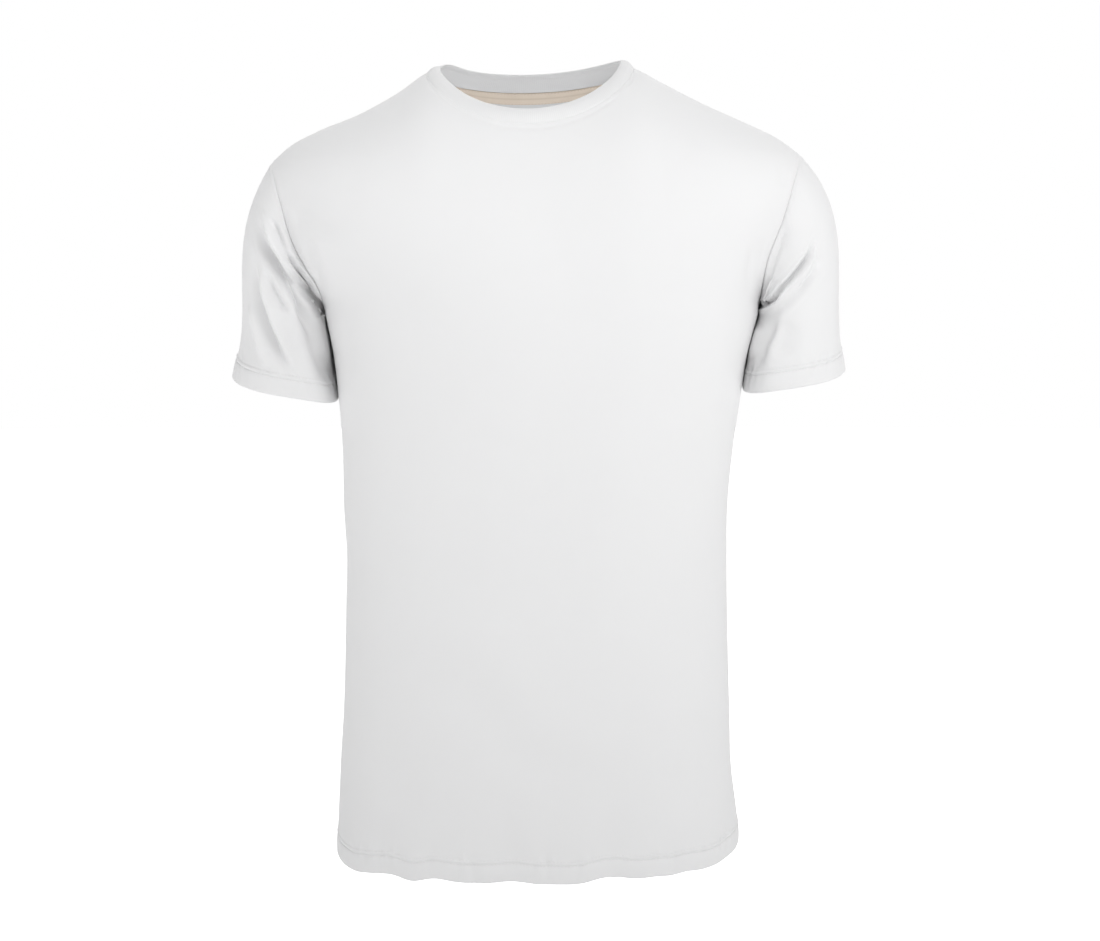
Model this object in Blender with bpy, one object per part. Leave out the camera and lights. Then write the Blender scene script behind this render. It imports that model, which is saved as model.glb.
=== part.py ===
"""A crew neck t-shirt, filled out as if worn, with nobody in it.

Six sewn pieces: a front, a back, two set-in sleeves, a rib neckband and a tape over the
back neck seam. The body and sleeve hems are folded up inside their own cloth.

Metres, +Z up. The front faces -Y and the wearer's left is +X. The origin is between the two
high shoulder points, at the neck. Each piece is a thin wall between an outer and an inner
grid of points. The shoulder and side seams lie in the plane Y = 0.
"""

import math

import bpy
import numpy as np

# ---------------------------------------------------------------- driving dimensions

SEAM_GAP = 0.0003
JERSEY = 0.0015  # wall of one layer
HEM_JERSEY = 0.0026  # wall where the hem is folded up inside
HEM_WIDTH = 0.020
RIB_THICK = 0.0022
TAPE_THICK = 0.0010
TAPE_GAP = 0.0006
TAPE_WIDTH = 0.0125
TAPE_SHARE = 0.96  # share of the panel's top row that it covers
TAPE_INSET = 0.25  # share of the last column that the tape stops short of the shoulder seam

NECK_X = -0.007  # the neck opening sits this far to the wearer's right
NECK_HALF = 0.0905  # half width of the neck seam, from one high shoulder point to the other
NECK_SIDE_Z = -0.006  # height of the neck seam at the high shoulder points
NECK_TILT = 0.02  # rise of the neck seam for each metre towards the wearer's left

SLEEVE_CLEAR = 0.0010  # least gap between a sleeve and the side of the body
UNDERARM_Z = {-1: -0.218, 1: -0.212}  # height of the side seam's top, right and left


def table(columns, *rows):
    """Named columns of numbers, one row for each section."""
    return dict(zip(columns.split(), np.array(rows, float).T))


# Half widths and depths of the body below the armholes, from the hem up.
BODY = table(
    "height   right   left    front   back",
    (-0.700, 0.1782, 0.1772, 0.1160, 0.1120),
    (-0.667, 0.1770, 0.1760, 0.1163, 0.1120),
    (-0.611, 0.1744, 0.1695, 0.1162, 0.1110),
    (-0.567, 0.1718, 0.1683, 0.1155, 0.1095),
    (-0.470, 0.1692, 0.1659, 0.1140, 0.1060),
    (-0.430, 0.1684, 0.1655, 0.1143, 0.1055),
    (-0.390, 0.1708, 0.1658, 0.1152, 0.1057),
    (-0.340, 0.1718, 0.1700, 0.1180, 0.1080),
    (-0.294, 0.1747, 0.1768, 0.1210, 0.1110),
    (-0.250, 0.1800, 0.1838, 0.1245, 0.1150),
    (-0.218, 0.1865, 0.1920, 0.1262, 0.1170),
    (-0.150, 0.2000, 0.2000, 0.1270, 0.1180),
    (+0.010, 0.2200, 0.2200, 0.1270, 0.1180),
)

# The armhole seam from the underarm up to the shoulder point: its distance from the middle,
# and how far it stands forward and back as a share of the body's depth there.
ARMHOLE = table(
    "rise  right   left    front  back",
    (0.00, 0.1865, 0.1925, 0.000, 0.000),
    (0.04, 0.1866, 0.1926, 0.144, 0.160),
    (0.11, 0.1880, 0.1932, 0.280, 0.310),
    (0.20, 0.1922, 0.1945, 0.385, 0.425),
    (0.30, 0.2003, 0.1970, 0.440, 0.480),
    (0.42, 0.2085, 0.2025, 0.490, 0.520),
    (0.55, 0.2148, 0.2092, 0.525, 0.545),
    (0.70, 0.2203, 0.2155, 0.560, 0.570),
    (0.85, 0.2265, 0.2215, 0.600, 0.600),
    (1.00, 0.2325, 0.2280, 0.630, 0.630),
)

# Height of the shoulder line across the body. Inside the neck it is only the line on which
# the front and the back would meet.
SHOULDER = table(
    "across    height",
    (-0.2325, -0.0860),
    (-0.2187, -0.0735),
    (-0.1923, -0.0590),
    (-0.1571, -0.0445),
    (-0.1219, -0.0250),
    (-0.0975, -0.0080),
    (-0.0600, +0.0005),
    (-0.0070, +0.0020),
    (+0.0450, +0.0008),
    (+0.0835, -0.0040),
    (+0.1069, -0.0162),
    (+0.1421, -0.0343),
    (+0.1773, -0.0502),
    (+0.2125, -0.0675),
    (+0.2280, -0.0790),
)

# Height of the hem from the wearer's right side seam (-1) to the left one (1).
HEM = table(
    "across  front    back",
    (-1.00, -0.6880, -0.6880),
    (-0.90, -0.6945, -0.6930),
    (-0.60, -0.6960, -0.6985),
    (+0.00, -0.6965, -0.7000),
    (+0.36, -0.6930, -0.6975),
    (+0.60, -0.6930, -0.6940),
    (+0.85, -0.6880, -0.6865),
    (+1.00, -0.6750, -0.6750),
)

# The front and the back: which way they face, the fullness of their sections, how far below
# the shoulder line they reach full depth at the middle, and how steeply they leave that line
# (0.5 is a round shoulder, 1 a flat slope).
FACES = {
    "front": {
        "sign": -1,
        "fullness": 2.45,
        "turn": 0.300,
        "rise_neck": 0.667,
        "rise_edge": 0.5,
        "neck_drop": 0.0513,
        "neck_power": 1.4,
        "neck_columns": 16,
    },
    "back": {
        "sign": 1,
        "fullness": 2.3,
        "turn": 0.190,
        "rise_neck": 0.5,
        "rise_edge": 0.5,
        "neck_drop": 0.0125,
        "neck_power": 1.6,
        "neck_columns": 14,
    },
}
RISE_FROM = 0.06  # distance from the middle where the shoulder starts to get rounder
RISE_RUN = 0.15
SHOULDER_COLUMNS = 5
BODY_ROWS = 14
YOKE_ROWS = 20
TOP_STEP = 0.03  # share of the yoke over which its length is measured at the top
YOKE_CROWDING = 1.8  # rows lie closer together near the underarm
ARCH_POWER = 3.0  # how softly the face comes to its full depth
SLEEVE_ROWS = 14
SLEEVE_LENGTH = 0.200

# The hem of each sleeve: its outermost point, the height of its inner side, its middle from
# front to back, half its depth, and how far its front droops.
SLEEVE_HEM = table(
    "side  outer_x  outer_z  inner_z  middle_y  half_depth  droop",
    (-1, 0.2705, -0.2740, -0.2955, 0.0150, 0.0620, 0.0065),
    (+1, 0.2710, -0.2690, -0.2865, 0.0150, 0.0620, 0.0055),
)
# The way in which each sleeve leaves the armhole and the way in which it reaches its hem,
# out and down, under the arm and at the top. Longer ways hold their direction for longer.
SLEEVE_WAYS = table(
    "side  leave_under_x  leave_under_z  leave_top_x  leave_top_z  land_top_x  land_top_z",
    (-1, 0.012, -0.060, 0.140, -0.215, 0.070, -0.200),
    (+1, 0.012, -0.060, 0.165, -0.165, 0.050, -0.200),
)
LAND_UNDER = (-0.004, -0.080)
DOWN_POWER = 0.8  # how soon, going up round the armhole, the ways reach their full drop
HEM_SQUARE = 0.70  # below 1, the hem's inner side lies flatter against the body
SLEEVE_SWELL = 0.045  # how far the sleeve swells forwards and back where it leaves
SLEEVE_HUG = 0.75  # how closely its inner side follows the body
HUG_RUN = 0.35  # share of the sleeve's length over which it comes to lie there
HUG_POWER = 1.8
CLEAR_RUN = 0.25  # share of the sleeve's length over which it comes clear of the body
CLEAR_SOFT = 0.0012  # how softly it is kept clear

# The neckband's top edge.
BAND_TOP = {"half_width": 0.0790, "side_z": 0.0035, "tilt": 0.03}
BAND_TOP_EDGE = {
    "front": {"y": -0.0690, "drop": 0.0472, "power": 1.2},
    "back": {"y": 0.0570, "drop": 0.0073, "power": 2.2},
}
BAND_BULGE = 0.0012

# Large folds: a trough (or a ridge, where the depth is negative) from one point of the front
# view to another, with its half width and its depth.
FOLD_COLUMNS = "x1  z1  x2  z2  width  depth"
FOLD_REACH = 0.15  # share of its length by which a fold fades out past its ends
FOLD_FADE = 0.35
SLEEVE_FADE = 0.25  # share of the sleeve over which folds come in from its seam
SLEEVE_BACK_SHARE = 0.7  # how deep the same folds are on the back of a sleeve
SIDE_FADE = 0.12  # share of the half width over which folds come in from a side seam
RIGHT_SLEEVE_FOLDS = table(
    FOLD_COLUMNS,
    (-0.246, -0.139, -0.202, -0.228, 0.0090, 0.0040),
    (-0.228, -0.150, -0.194, -0.205, 0.0090, 0.0045),
    (-0.254, -0.180, -0.226, -0.265, 0.0090, 0.0030),
)
LEFT_SLEEVE_FOLDS = table(
    FOLD_COLUMNS,
    (0.200, -0.214, 0.240, -0.155, 0.0095, 0.0045),
    (0.214, -0.222, 0.252, -0.166, 0.0095, 0.0030),
    (0.231, -0.210, 0.221, -0.255, 0.0130, 0.0030),
)
FRONT_FOLDS = table(
    FOLD_COLUMNS,
    (-0.214, -0.132, -0.165, -0.160, 0.0130, 0.0028),
    (0.192, -0.150, 0.180, -0.205, 0.0130, 0.0022),
    (0.176, -0.250, 0.158, -0.330, 0.0130, 0.0025),
)
BACK_FOLDS = table(
    FOLD_COLUMNS,
    (-0.200, -0.190, -0.130, -0.260, 0.0160, 0.0030),
    (0.200, -0.180, 0.135, -0.270, 0.0160, 0.0030),
    (-0.060, -0.400, 0.075, -0.430, 0.0280, 0.0035),
)

MATERIALS = {
    "jersey": {"colour": (0.86, 0.86, 0.87, 1.0), "roughness": 0.80},
    "rib": {"colour": (0.84, 0.84, 0.85, 1.0), "roughness": 0.85},
    "tape": {"colour": (0.72, 0.60, 0.46, 1.0), "roughness": 0.75},
}


# ---------------------------------------------------------------- curves and the body's form


def curve(at, xs, ys):
    """A smooth curve through the points, level beyond its ends."""
    slopes = np.gradient(ys, xs)
    at = np.clip(at, xs[0], xs[-1])
    i = np.clip(np.searchsorted(xs, at) - 1, 0, len(xs) - 2)
    step = xs[i + 1] - xs[i]
    t = (at - xs[i]) / step
    return (
        ys[i] * (1 + 2 * t) * (1 - t) ** 2
        + ys[i + 1] * t**2 * (3 - 2 * t)
        + step * t * (1 - t) * (slopes[i] * (1 - t) - slopes[i + 1] * t)
    )


def ease(t):
    """0 to 1 with level ends."""
    t = np.clip(t, 0.0, 1.0)
    return t * t * (3 - 2 * t)


def mixed(a, b, t):
    return a + (b - a) * t


def shoulder_line(x):
    return curve(x, SHOULDER["across"], SHOULDER["height"])


def side_column(side):
    return "right" if side < 0 else "left"


def shoulder_point(side):
    x = side * ARMHOLE[side_column(side)][-1]
    return x, float(shoulder_line(x))


def armhole_rise(side, z):
    """0 at the underarm, 1 at the shoulder point."""
    bottom = UNDERARM_Z[side]
    return (z - bottom) / (shoulder_point(side)[1] - bottom)


def armhole_x(side, z):
    """Distance of the armhole seam from the middle at height z."""
    return curve(armhole_rise(side, z), ARMHOLE["rise"], ARMHOLE[side_column(side)])


def half_width(face, side, z):
    """Half the width on which the section at height z is drawn. Above the underarm it is
    wider than the cloth, so that the section passes through the armhole seam."""
    name = side_column(side)
    power = FACES[face]["fullness"]
    below = curve(z, BODY["height"], BODY[name])
    rise = armhole_rise(side, z)
    share = curve(rise, ARMHOLE["rise"], ARMHOLE[face])
    above = armhole_x(side, z) / (1 - np.abs(share) ** power) ** (1 / power)
    return np.where(rise < 0, below, above)


def turn_height(face, x):
    """How far below the shoulder line the face reaches its full depth."""
    side_turn = np.where(x < 0, underarm_turn(-1), underarm_turn(1))
    edge = np.where(x < 0, ARMHOLE["right"][0], ARMHOLE["left"][0])
    return mixed(FACES[face]["turn"], side_turn, ease(np.abs(x) / edge))


def underarm_turn(side):
    x = side * ARMHOLE[side_column(side)][0]
    return float(shoulder_line(x)) - UNDERARM_Z[side]


def steepness(face, x):
    shape = FACES[face]
    away = ease((np.abs(x) - RISE_FROM) / RISE_RUN)
    return mixed(shape["rise_neck"], shape["rise_edge"], away)


def face_y(face, x, z):
    """Depth of the outer surface at a point of the front view."""
    shape = FACES[face]
    power = shape["fullness"]
    width = np.where(x < 0, half_width(face, -1, z), half_width(face, 1, z))
    side = (1 - np.clip(np.abs(x) / width, 0, 1) ** power) ** (1 / power)
    fall = np.clip((shoulder_line(x) - z) / turn_height(face, x), 0, 1)
    arch = np.clip(1 - (1 - fall) ** ARCH_POWER, 0, 1) ** steepness(face, x)
    depth = curve(z, BODY["height"], BODY[face]) * arch * side
    return shape["sign"] * np.maximum(depth, SEAM_GAP / 2)


def body_x(side, y, z):
    """Distance of the body's side from the middle, below the armhole, at depth y."""
    width = curve(z, BODY["height"], BODY[side_column(side)])
    reach = {}
    for face in FACES:
        power = FACES[face]["fullness"]
        share = np.clip(np.abs(y) / curve(z, BODY["height"], BODY[face]), 0, 1)
        reach[face] = width * (1 - share**power) ** (1 / power)
    return np.where(y < 0, reach["front"], reach["back"])


# ---------------------------------------------------------------- the front and the back


def neck_edge(face):
    """(x, z) of the neck seam from the wearer's right high shoulder point to the left."""
    shape = FACES[face]
    angle = np.linspace(math.pi, 0, shape["neck_columns"] + 1)
    x = NECK_X + NECK_HALF * np.cos(angle)
    z = NECK_SIDE_Z - shape["neck_drop"] * np.sin(angle) ** shape["neck_power"]
    z = z + NECK_TILT * (x - NECK_X)
    z[[0, -1]] = shoulder_line(x[[0, -1]])
    return x, np.minimum(z, shoulder_line(x))


def top_edge(face):
    """(x, z) along shoulder seam, neck seam and shoulder seam."""
    neck_x, neck_z = neck_edge(face)
    right = np.linspace(shoulder_point(-1)[0], neck_x[0], SHOULDER_COLUMNS + 1)[:-1]
    left = np.linspace(neck_x[-1], shoulder_point(1)[0], SHOULDER_COLUMNS + 1)[1:]
    x = np.concatenate([right, neck_x, left])
    z = np.concatenate([shoulder_line(right), neck_z, shoulder_line(left)])
    return x, z


def fall_at(angle):
    """Share of the turn height at which the face has turned by an angle from level."""
    return 1 - np.cos(angle) ** (2 / ARCH_POWER)


def armhole_heights(face, angle):
    """Heights of the armhole seam where the face has turned by each angle."""
    heights = {}
    for side in (-1, 1):
        z = np.full_like(angle, UNDERARM_Z[side])
        for _ in range(12):
            x = side * armhole_x(side, z)
            z = shoulder_line(x) - turn_height(face, x) * fall_at(angle)
        heights[side] = z
    return heights


def yoke_points(face, across_low, rows):
    """The face above the underarm: a grid between the chest row and the top edge."""
    top_x, top_z = top_edge(face)
    ends = np.where(top_x < 0, -top_x[0], top_x[-1])
    across_top = top_x / ends
    fall_top = (shoulder_line(top_x) - top_z) / turn_height(face, top_x)
    angle_top = np.arccos(np.clip((1 - fall_top) ** (ARCH_POWER / 2), 0, 1))
    shoulder = np.abs(top_z - shoulder_line(top_x)) < 1e-7
    angle_top[shoulder] = 0.0
    edge_z = armhole_heights(face, (1 - rows) * math.pi / 2)
    grid = []
    for i, up in enumerate(rows):
        across = mixed(across_low, across_top, ease(up))
        edge = np.where(
            across < 0, armhole_x(-1, edge_z[-1][i]), armhole_x(1, edge_z[1][i])
        )
        x = across * edge
        angle = mixed(math.pi / 2, angle_top, up)
        z = shoulder_line(x) - turn_height(face, x) * fall_at(angle)
        if i == len(rows) - 1:
            x, z = top_x, top_z
        grid.append(np.stack([x, face_y(face, x, z), z], axis=1))
    return np.array(grid)


def skirt_points(face, across, chest):
    """The face below the chest row, down to the hem."""
    hem_z = curve(across, HEM["across"], HEM[face])
    up = np.linspace(0, 1, BODY_ROWS)[1:-1]
    grid = []
    for height in (0.0, HEM_WIDTH, *up):
        if height in (0.0, HEM_WIDTH):
            z = hem_z + height
        else:
            z = mixed(hem_z + HEM_WIDTH, chest[:, 2], height)
        ends = [half_width(face, side, z[k]) for side, k in ((-1, 0), (1, -1))]
        x = across * np.where(across < 0, ends[0], ends[1])
        grid.append(np.stack([x, face_y(face, x, z), z], axis=1))
    return np.array(grid)


def face_points(face):
    """The outer grid of the front or the back: rows from the hem up, columns from the
    wearer's right side seam and armhole to the left."""
    columns = FACES[face]["neck_columns"] + 2 * SHOULDER_COLUMNS
    across = np.sin(np.linspace(-1, 1, columns + 1) * math.pi / 2)
    rows = np.linspace(0, 1, YOKE_ROWS + 1) ** YOKE_CROWDING
    yoke = yoke_points(face, across, rows)
    near_top = yoke_points(face, across, np.array([0.0, 1 - TOP_STEP, 1.0]))
    reach = np.linalg.norm(near_top[2] - near_top[1], axis=1).mean() / TOP_STEP
    rows[-2] = 1 - TAPE_WIDTH / reach
    yoke = yoke_points(face, across, rows)
    return np.concatenate([skirt_points(face, across, yoke[0]), yoke])


YOKE_START = BODY_ROWS  # index of the chest row in a face's grid


# ---------------------------------------------------------------- grids, normals, folds


def unit(v):
    return v / np.maximum(np.linalg.norm(v, axis=-1, keepdims=True), 1e-12)


def along(grid, axis, closed=False):
    """Central differences of a grid of points."""
    if closed:
        return np.roll(grid, -1, axis) - np.roll(grid, 1, axis)
    return np.gradient(grid, axis=axis)


def normals(grid, closed=False):
    """Unit normals, to the right of the columns' way round."""
    return unit(np.cross(along(grid, 1, closed), along(grid, 0)))


def fold_depth(x, z, folds):
    """How far the folds sink the cloth at a point of the front view."""
    depth = np.zeros(np.shape(x))
    for x1, z1, x2, z2, width, deep in zip(*folds.values()):
        way = np.array([x2 - x1, z2 - z1])
        length = np.linalg.norm(way)
        way = way / length
        run = ((x - x1) * way[0] + (z - z1) * way[1]) / length
        off = (x - x1) * way[1] - (z - z1) * way[0]
        past_start = ease((run + FOLD_REACH) / FOLD_FADE)
        taper = past_start * ease((1 + FOLD_REACH - run) / FOLD_FADE)
        depth = depth + deep * taper * np.exp(-((off / width) ** 2))
    return depth


def folded(grid, folds, keep, sign=1, closed=False):
    """The grid with its folds sunk along its normals, by `keep` of their depth."""
    depth = fold_depth(grid[..., 0], grid[..., 2], folds) * keep * sign
    return grid - normals(grid, closed) * depth[..., None]


# ---------------------------------------------------------------- seams


def towards(ways, vectors):
    """The vectors, all turned round together if most of them point against the ways."""
    return vectors * np.sign((vectors * ways).sum())


LEAST_LEAN = 0.6  # keeps the wall's depth moderate where a seam turns sharply


class Seam:
    """A closed line of points where a second piece leaves a first one. `out` points out of
    the cloth, between the two pieces' normals, and `over` from the first to the second."""

    def __init__(self, points, first_normals, second_ways):
        self.points = points
        run = unit(np.roll(points, -1, 0) - np.roll(points, 1, 0))
        second_normals = towards(points - points.mean(0), unit(np.cross(run, second_ways)))
        self.out = unit(first_normals + second_normals)
        self.over = towards(second_ways, unit(np.cross(run, self.out)))
        lean = np.abs((self.out * first_normals).sum(1))
        self.stretch = 1 / np.clip(lean, LEAST_LEAN, 1)

    def outer(self, which):
        """Outer edge of the first (-1) or the second (+1) piece."""
        return self.points + self.over * which * SEAM_GAP / 2

    def inner(self, which, thickness):
        return self.outer(which) - self.out * (self.stretch * thickness)[:, None]


def ring_of(front_edge, back_edge):
    """A closed ring: up the front's edge, and back along the back's edge."""
    return np.concatenate([front_edge, back_edge[-2:0:-1]])


def split_ring(ring, front_count):
    """The two edges that make up a ring, both in the first one's direction."""
    front = ring[: front_count + 1]
    back = np.concatenate([ring[:1], ring[:front_count - 1 : -1]])
    return front, back


# ---------------------------------------------------------------- objects


# The rims of two pieces that meet are split along the same diagonal, from the outer point that
# is lower in this direction.
RIM_WAY = np.array([0.13, 0.29, 1.0])


def cloth_object(name, outer, inner, material, collection, closed=False):
    """A solid wall between two grids of the same size, whose outer one faces outwards."""
    rows, columns = outer.shape[:2]
    points = np.concatenate([outer.reshape(-1, 3), inner.reshape(-1, 3)])

    def at(layer, row, column):
        return layer * rows * columns + row * columns + column % columns

    faces = []
    spans = columns if closed else columns - 1
    for row in range(rows - 1):
        for column in range(spans):
            low, low_next = (row, column), (row, column + 1)
            high, high_next = (row + 1, column), (row + 1, column + 1)
            for corners in ((low, low_next, high_next), (low, high_next, high)):
                faces.append([at(0, *c) for c in corners])
                faces.append([at(1, *c) for c in reversed(corners)])
    edges = []
    for column in range(spans):
        edges.append(((0, column), (0, column + 1), 1))
        edges.append(((rows - 1, column), (rows - 1, column + 1), -1))
    if not closed:
        for row in range(rows - 1):
            edges.append(((row, 0), (row + 1, 0), -1))
            edges.append(((row, columns - 1), (row + 1, columns - 1), 1))
    for first, second, turn in edges:
        if points[at(0, *first)] @ RIM_WAY > points[at(0, *second)] @ RIM_WAY:
            first, second, turn = second, first, -turn
        for rim in (
            [at(0, *first), at(1, *first), at(1, *second)],
            [at(0, *first), at(1, *second), at(0, *second)],
        ):
            faces.append(rim[::turn])
    mesh = bpy.data.meshes.new(name)
    mesh.from_pydata(points.tolist(), [], faces)
    mesh.validate()
    mesh.shade_smooth()
    mesh.set_sharp_from_angle(angle=math.radians(50))
    mesh.materials.append(material)
    obj = bpy.data.objects.new(name, mesh)
    collection.objects.link(obj)
    return obj


def make_material(name):
    look = MATERIALS[name]
    material = bpy.data.materials.new(name)
    material.use_nodes = True
    shader = material.node_tree.nodes["Principled BSDF"]
    shader.inputs["Base Color"].default_value = look["colour"]
    shader.inputs["Roughness"].default_value = look["roughness"]
    shader.inputs["Metallic"].default_value = 0.0
    return material


# ---------------------------------------------------------------- the pieces


def row_for(rows, side):
    """The row of a table that belongs to one side, as a dictionary."""
    number = int(np.where(rows["side"] == side)[0][0])
    return {name: float(column[number]) for name, column in rows.items()}


def round_share(front_edge, back_edge):
    """Angle round a sleeve for each point of its armhole: 0 under the arm, pi at the top."""
    angles = []
    for edge in (front_edge, back_edge):
        steps = np.linalg.norm(np.diff(edge, axis=0), axis=1)
        angles.append(np.concatenate([[0], np.cumsum(steps)]) / steps.sum() * math.pi)
    front, back = angles
    return np.concatenate([front, 2 * math.pi - back[-2:0:-1]])


def sleeve_ways(side, angle):
    """The way in which each thread leaves the armhole and the way in which it lands."""
    row = row_for(SLEEVE_WAYS, side)
    top = (1 - np.cos(angle)) / 2
    leave_x = side * mixed(row["leave_under_x"], row["leave_top_x"], top)
    leave_z = mixed(row["leave_under_z"], row["leave_top_z"], top**DOWN_POWER)
    land_x = side * mixed(LAND_UNDER[0], row["land_top_x"], top)
    land_z = mixed(LAND_UNDER[1], row["land_top_z"], top**DOWN_POWER)
    leaves = np.stack([leave_x, -SLEEVE_SWELL * np.sin(angle), leave_z], axis=1)
    lands = np.stack([land_x, np.zeros_like(angle), land_z], axis=1)
    return leaves, lands


def sleeve_hem_ring(side, angle):
    hem = row_for(SLEEVE_HEM, side)
    round_out = (1 - np.cos(angle)) / 2
    power = mixed(HEM_SQUARE, 1.0, round_out)
    out = (1 - np.sign(np.cos(angle)) * np.abs(np.cos(angle)) ** power) / 2
    front = np.maximum(np.sin(angle), 0)
    across = np.sign(np.sin(angle)) * np.abs(np.sin(angle)) ** power
    y = hem["middle_y"] - hem["half_depth"] * across
    z = mixed(hem["inner_z"], hem["outer_z"], out) - hem["droop"] * front
    x = mixed(body_x(side, y, z) + SLEEVE_CLEAR, hem["outer_x"], out)
    return np.stack([side * x, y, z], axis=1)


def beside_body(side, grid, down, hug):
    """Lays the inner side of a sleeve along the side of the body, a little clear of it."""
    for row, share in zip(grid[1:], down[1:]):
        least = body_x(side, row[:, 1], row[:, 2]) + SLEEVE_CLEAR * ease(share / CLEAR_RUN)
        soft = CLEAR_SOFT * ease(share / CLEAR_RUN)
        past = (side * row[:, 0] - least) * (1 - hug * ease(share / HUG_RUN))
        row[:, 0] = side * (least + (past + np.sqrt(past**2 + soft**2)) / 2)
    return grid


def sleeve_points(side, armhole, angle):
    """Outer grid of a sleeve: rows from the armhole down to the hem, round its opening."""
    hem = sleeve_hem_ring(side, angle)
    leaves, lands = sleeve_ways(side, angle)
    down = np.linspace(0, 1 - HEM_WIDTH / SLEEVE_LENGTH, SLEEVE_ROWS - 1)
    down = np.concatenate([down, [1.0]])
    s = down[:, None, None]
    grid = (
        armhole * (1 + 2 * s) * (1 - s) ** 2
        + leaves * s * (1 - s) ** 2
        + hem * s**2 * (3 - 2 * s)
        - lands * s**2 * (1 - s)
    )
    hug = SLEEVE_HUG * ((1 + np.cos(angle)) / 2) ** HUG_POWER
    return beside_body(side, grid, down, hug), down


def hem_thickness(rows, hem_row):
    """Wall thickness of each row, thicker where the hem is folded."""
    thick = np.full(rows, JERSEY)
    thick[hem_row] = HEM_JERSEY
    return thick[:, None, None]


def build_sleeve(side, armhole, angle, torso_normals):
    """Returns the sleeve's outer and inner grids and its armhole seam."""
    leaves = unit(sleeve_ways(side, angle)[0])
    seam = Seam(armhole, torso_normals, leaves)
    grid, down = sleeve_points(side, seam.outer(1), angle)
    folds = RIGHT_SLEEVE_FOLDS if side < 0 else LEFT_SLEEVE_FOLDS
    back = np.where(np.sin(angle) > -0.1, 1.0, SLEEVE_BACK_SHARE)
    keep = ease(down / SLEEVE_FADE)[:, None] * back
    grid = folded(grid, folds, keep, sign=-side, closed=True)
    grid = beside_body(side, grid, down, 0.0)
    thick = hem_thickness(len(grid), [-2, -1])
    inner = grid + side * normals(grid, closed=True) * thick
    inner[0] = seam.inner(1, JERSEY)
    return grid, inner, seam


def build_all():
    for obj in list(bpy.data.objects):
        bpy.data.objects.remove(obj, do_unlink=True)
    collection = bpy.data.collections.new("crew_neck_t_shirt")
    bpy.context.scene.collection.children.link(collection)
    materials = {name: make_material(name) for name in MATERIALS}

    outer = {"front": face_points("front"), "back": face_points("back")}
    outer["front"] = folded_face("front", outer["front"], FRONT_FOLDS)
    outer["back"] = folded_face("back", outer["back"], BACK_FOLDS)
    face_normals = {face: face_normals_of(face, grid) for face, grid in outer.items()}

    thick = hem_thickness(len(outer["front"]), [0, 1])
    inner = {face: outer[face] - face_normals[face] * thick for face in outer}

    for side, column in ((-1, 0), (1, -1)):
        edges = [outer[face][YOKE_START:, column].copy() for face in ("front", "back")]
        edge_normals = [face_normals[face][YOKE_START:, column] for face in ("front", "back")]
        for edge in edges:
            edge[[0, -1], 1] = 0.0
        armhole = ring_of(*edges)
        torso_normals = ring_of(*edge_normals)
        angle = round_share(*edges)
        sleeve_outer, sleeve_inner, seam = build_sleeve(side, armhole, angle, torso_normals)
        set_face_edges(outer, inner, seam, column, slice(YOKE_START, None))
        name = "right_sleeve" if side < 0 else "left_sleeve"
        add_sleeve(name, side, sleeve_outer, sleeve_inner, materials["jersey"], collection)

    band_outer, band_inner, neck_seam = build_neckband(outer, face_normals)
    set_neck_edges(outer, inner, neck_seam)
    for face in ("front", "back"):
        way = slice(None) if face == "front" else slice(None, None, -1)
        cloth_object(
            face + "_panel", outer[face][:, way], inner[face][:, way],
            materials["jersey"], collection,
        )
    cloth_object("neckband", band_outer, band_inner, materials["rib"], collection, closed=True)
    add_neck_tape(inner["back"], face_normals["back"], materials["tape"], collection)


def folded_face(face, grid, folds):
    """Sinks a face's folds, which fade out at its seams with the other face."""
    across = np.linspace(-1, 1, grid.shape[1])
    keep = ease((1 - np.abs(across)) / SIDE_FADE)[None, :]
    return folded(grid, folds, keep, sign=-FACES[face]["sign"])


def face_normals_of(face, grid):
    """Normals that point outwards, level in Y at the side and shoulder seams."""
    out = normals(grid) * -FACES[face]["sign"]
    out[:, [0, -1], 1] = np.where(
        np.arange(len(grid))[:, None] <= YOKE_START, 0.0, out[:, [0, -1], 1]
    )
    shoulder = list(range(SHOULDER_COLUMNS + 1)) + list(range(-SHOULDER_COLUMNS - 1, 0))
    out[-1, shoulder, 1] = 0.0
    return unit(out)


def set_face_edges(outer, inner, seam, column, rows):
    """Moves the armhole edges of the front and the back to their side of the seam."""
    count = YOKE_ROWS
    outers = split_ring(seam.outer(-1), count)
    inners = split_ring(seam.inner(-1, JERSEY), count)
    for face, edge, lining in zip(("front", "back"), outers, inners):
        nudge = np.zeros(count + 1)
        nudge[[0, -1]] = FACES[face]["sign"] * SEAM_GAP / 2
        outer[face][rows, column] = edge
        inner[face][rows, column] = lining
        outer[face][rows, column, 1] += nudge
        inner[face][rows, column, 1] += nudge


def neck_columns(face):
    return slice(SHOULDER_COLUMNS, SHOULDER_COLUMNS + FACES[face]["neck_columns"] + 1)


def band_top_ring(angle):
    """The neckband's top edge, round from the wearer's right over the front."""
    front, back = BAND_TOP_EDGE["front"], BAND_TOP_EDGE["back"]
    round_front = np.maximum(np.sin(angle), 0)
    round_back = np.maximum(-np.sin(angle), 0)
    y = front["y"] * round_front + back["y"] * round_back
    x = BAND_TOP["half_width"] * -np.cos(angle)
    drop = front["drop"] * round_front ** front["power"]
    drop = drop + back["drop"] * round_back ** back["power"]
    z = BAND_TOP["side_z"] + BAND_TOP["tilt"] * x - drop
    return np.stack([NECK_X + x, y, z], axis=1)


# Share of the way up the band, and how far out of its middle layer, for each point of its
# section: up the outer side, over the folded top edge and down the inner side.
BAND_SECTION = table(
    "up    out",
    (0.00, 0.50),
    (0.30, 0.50),
    (0.62, 0.50),
    (0.90, 0.42),
    (1.00, 0.12),
)


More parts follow.
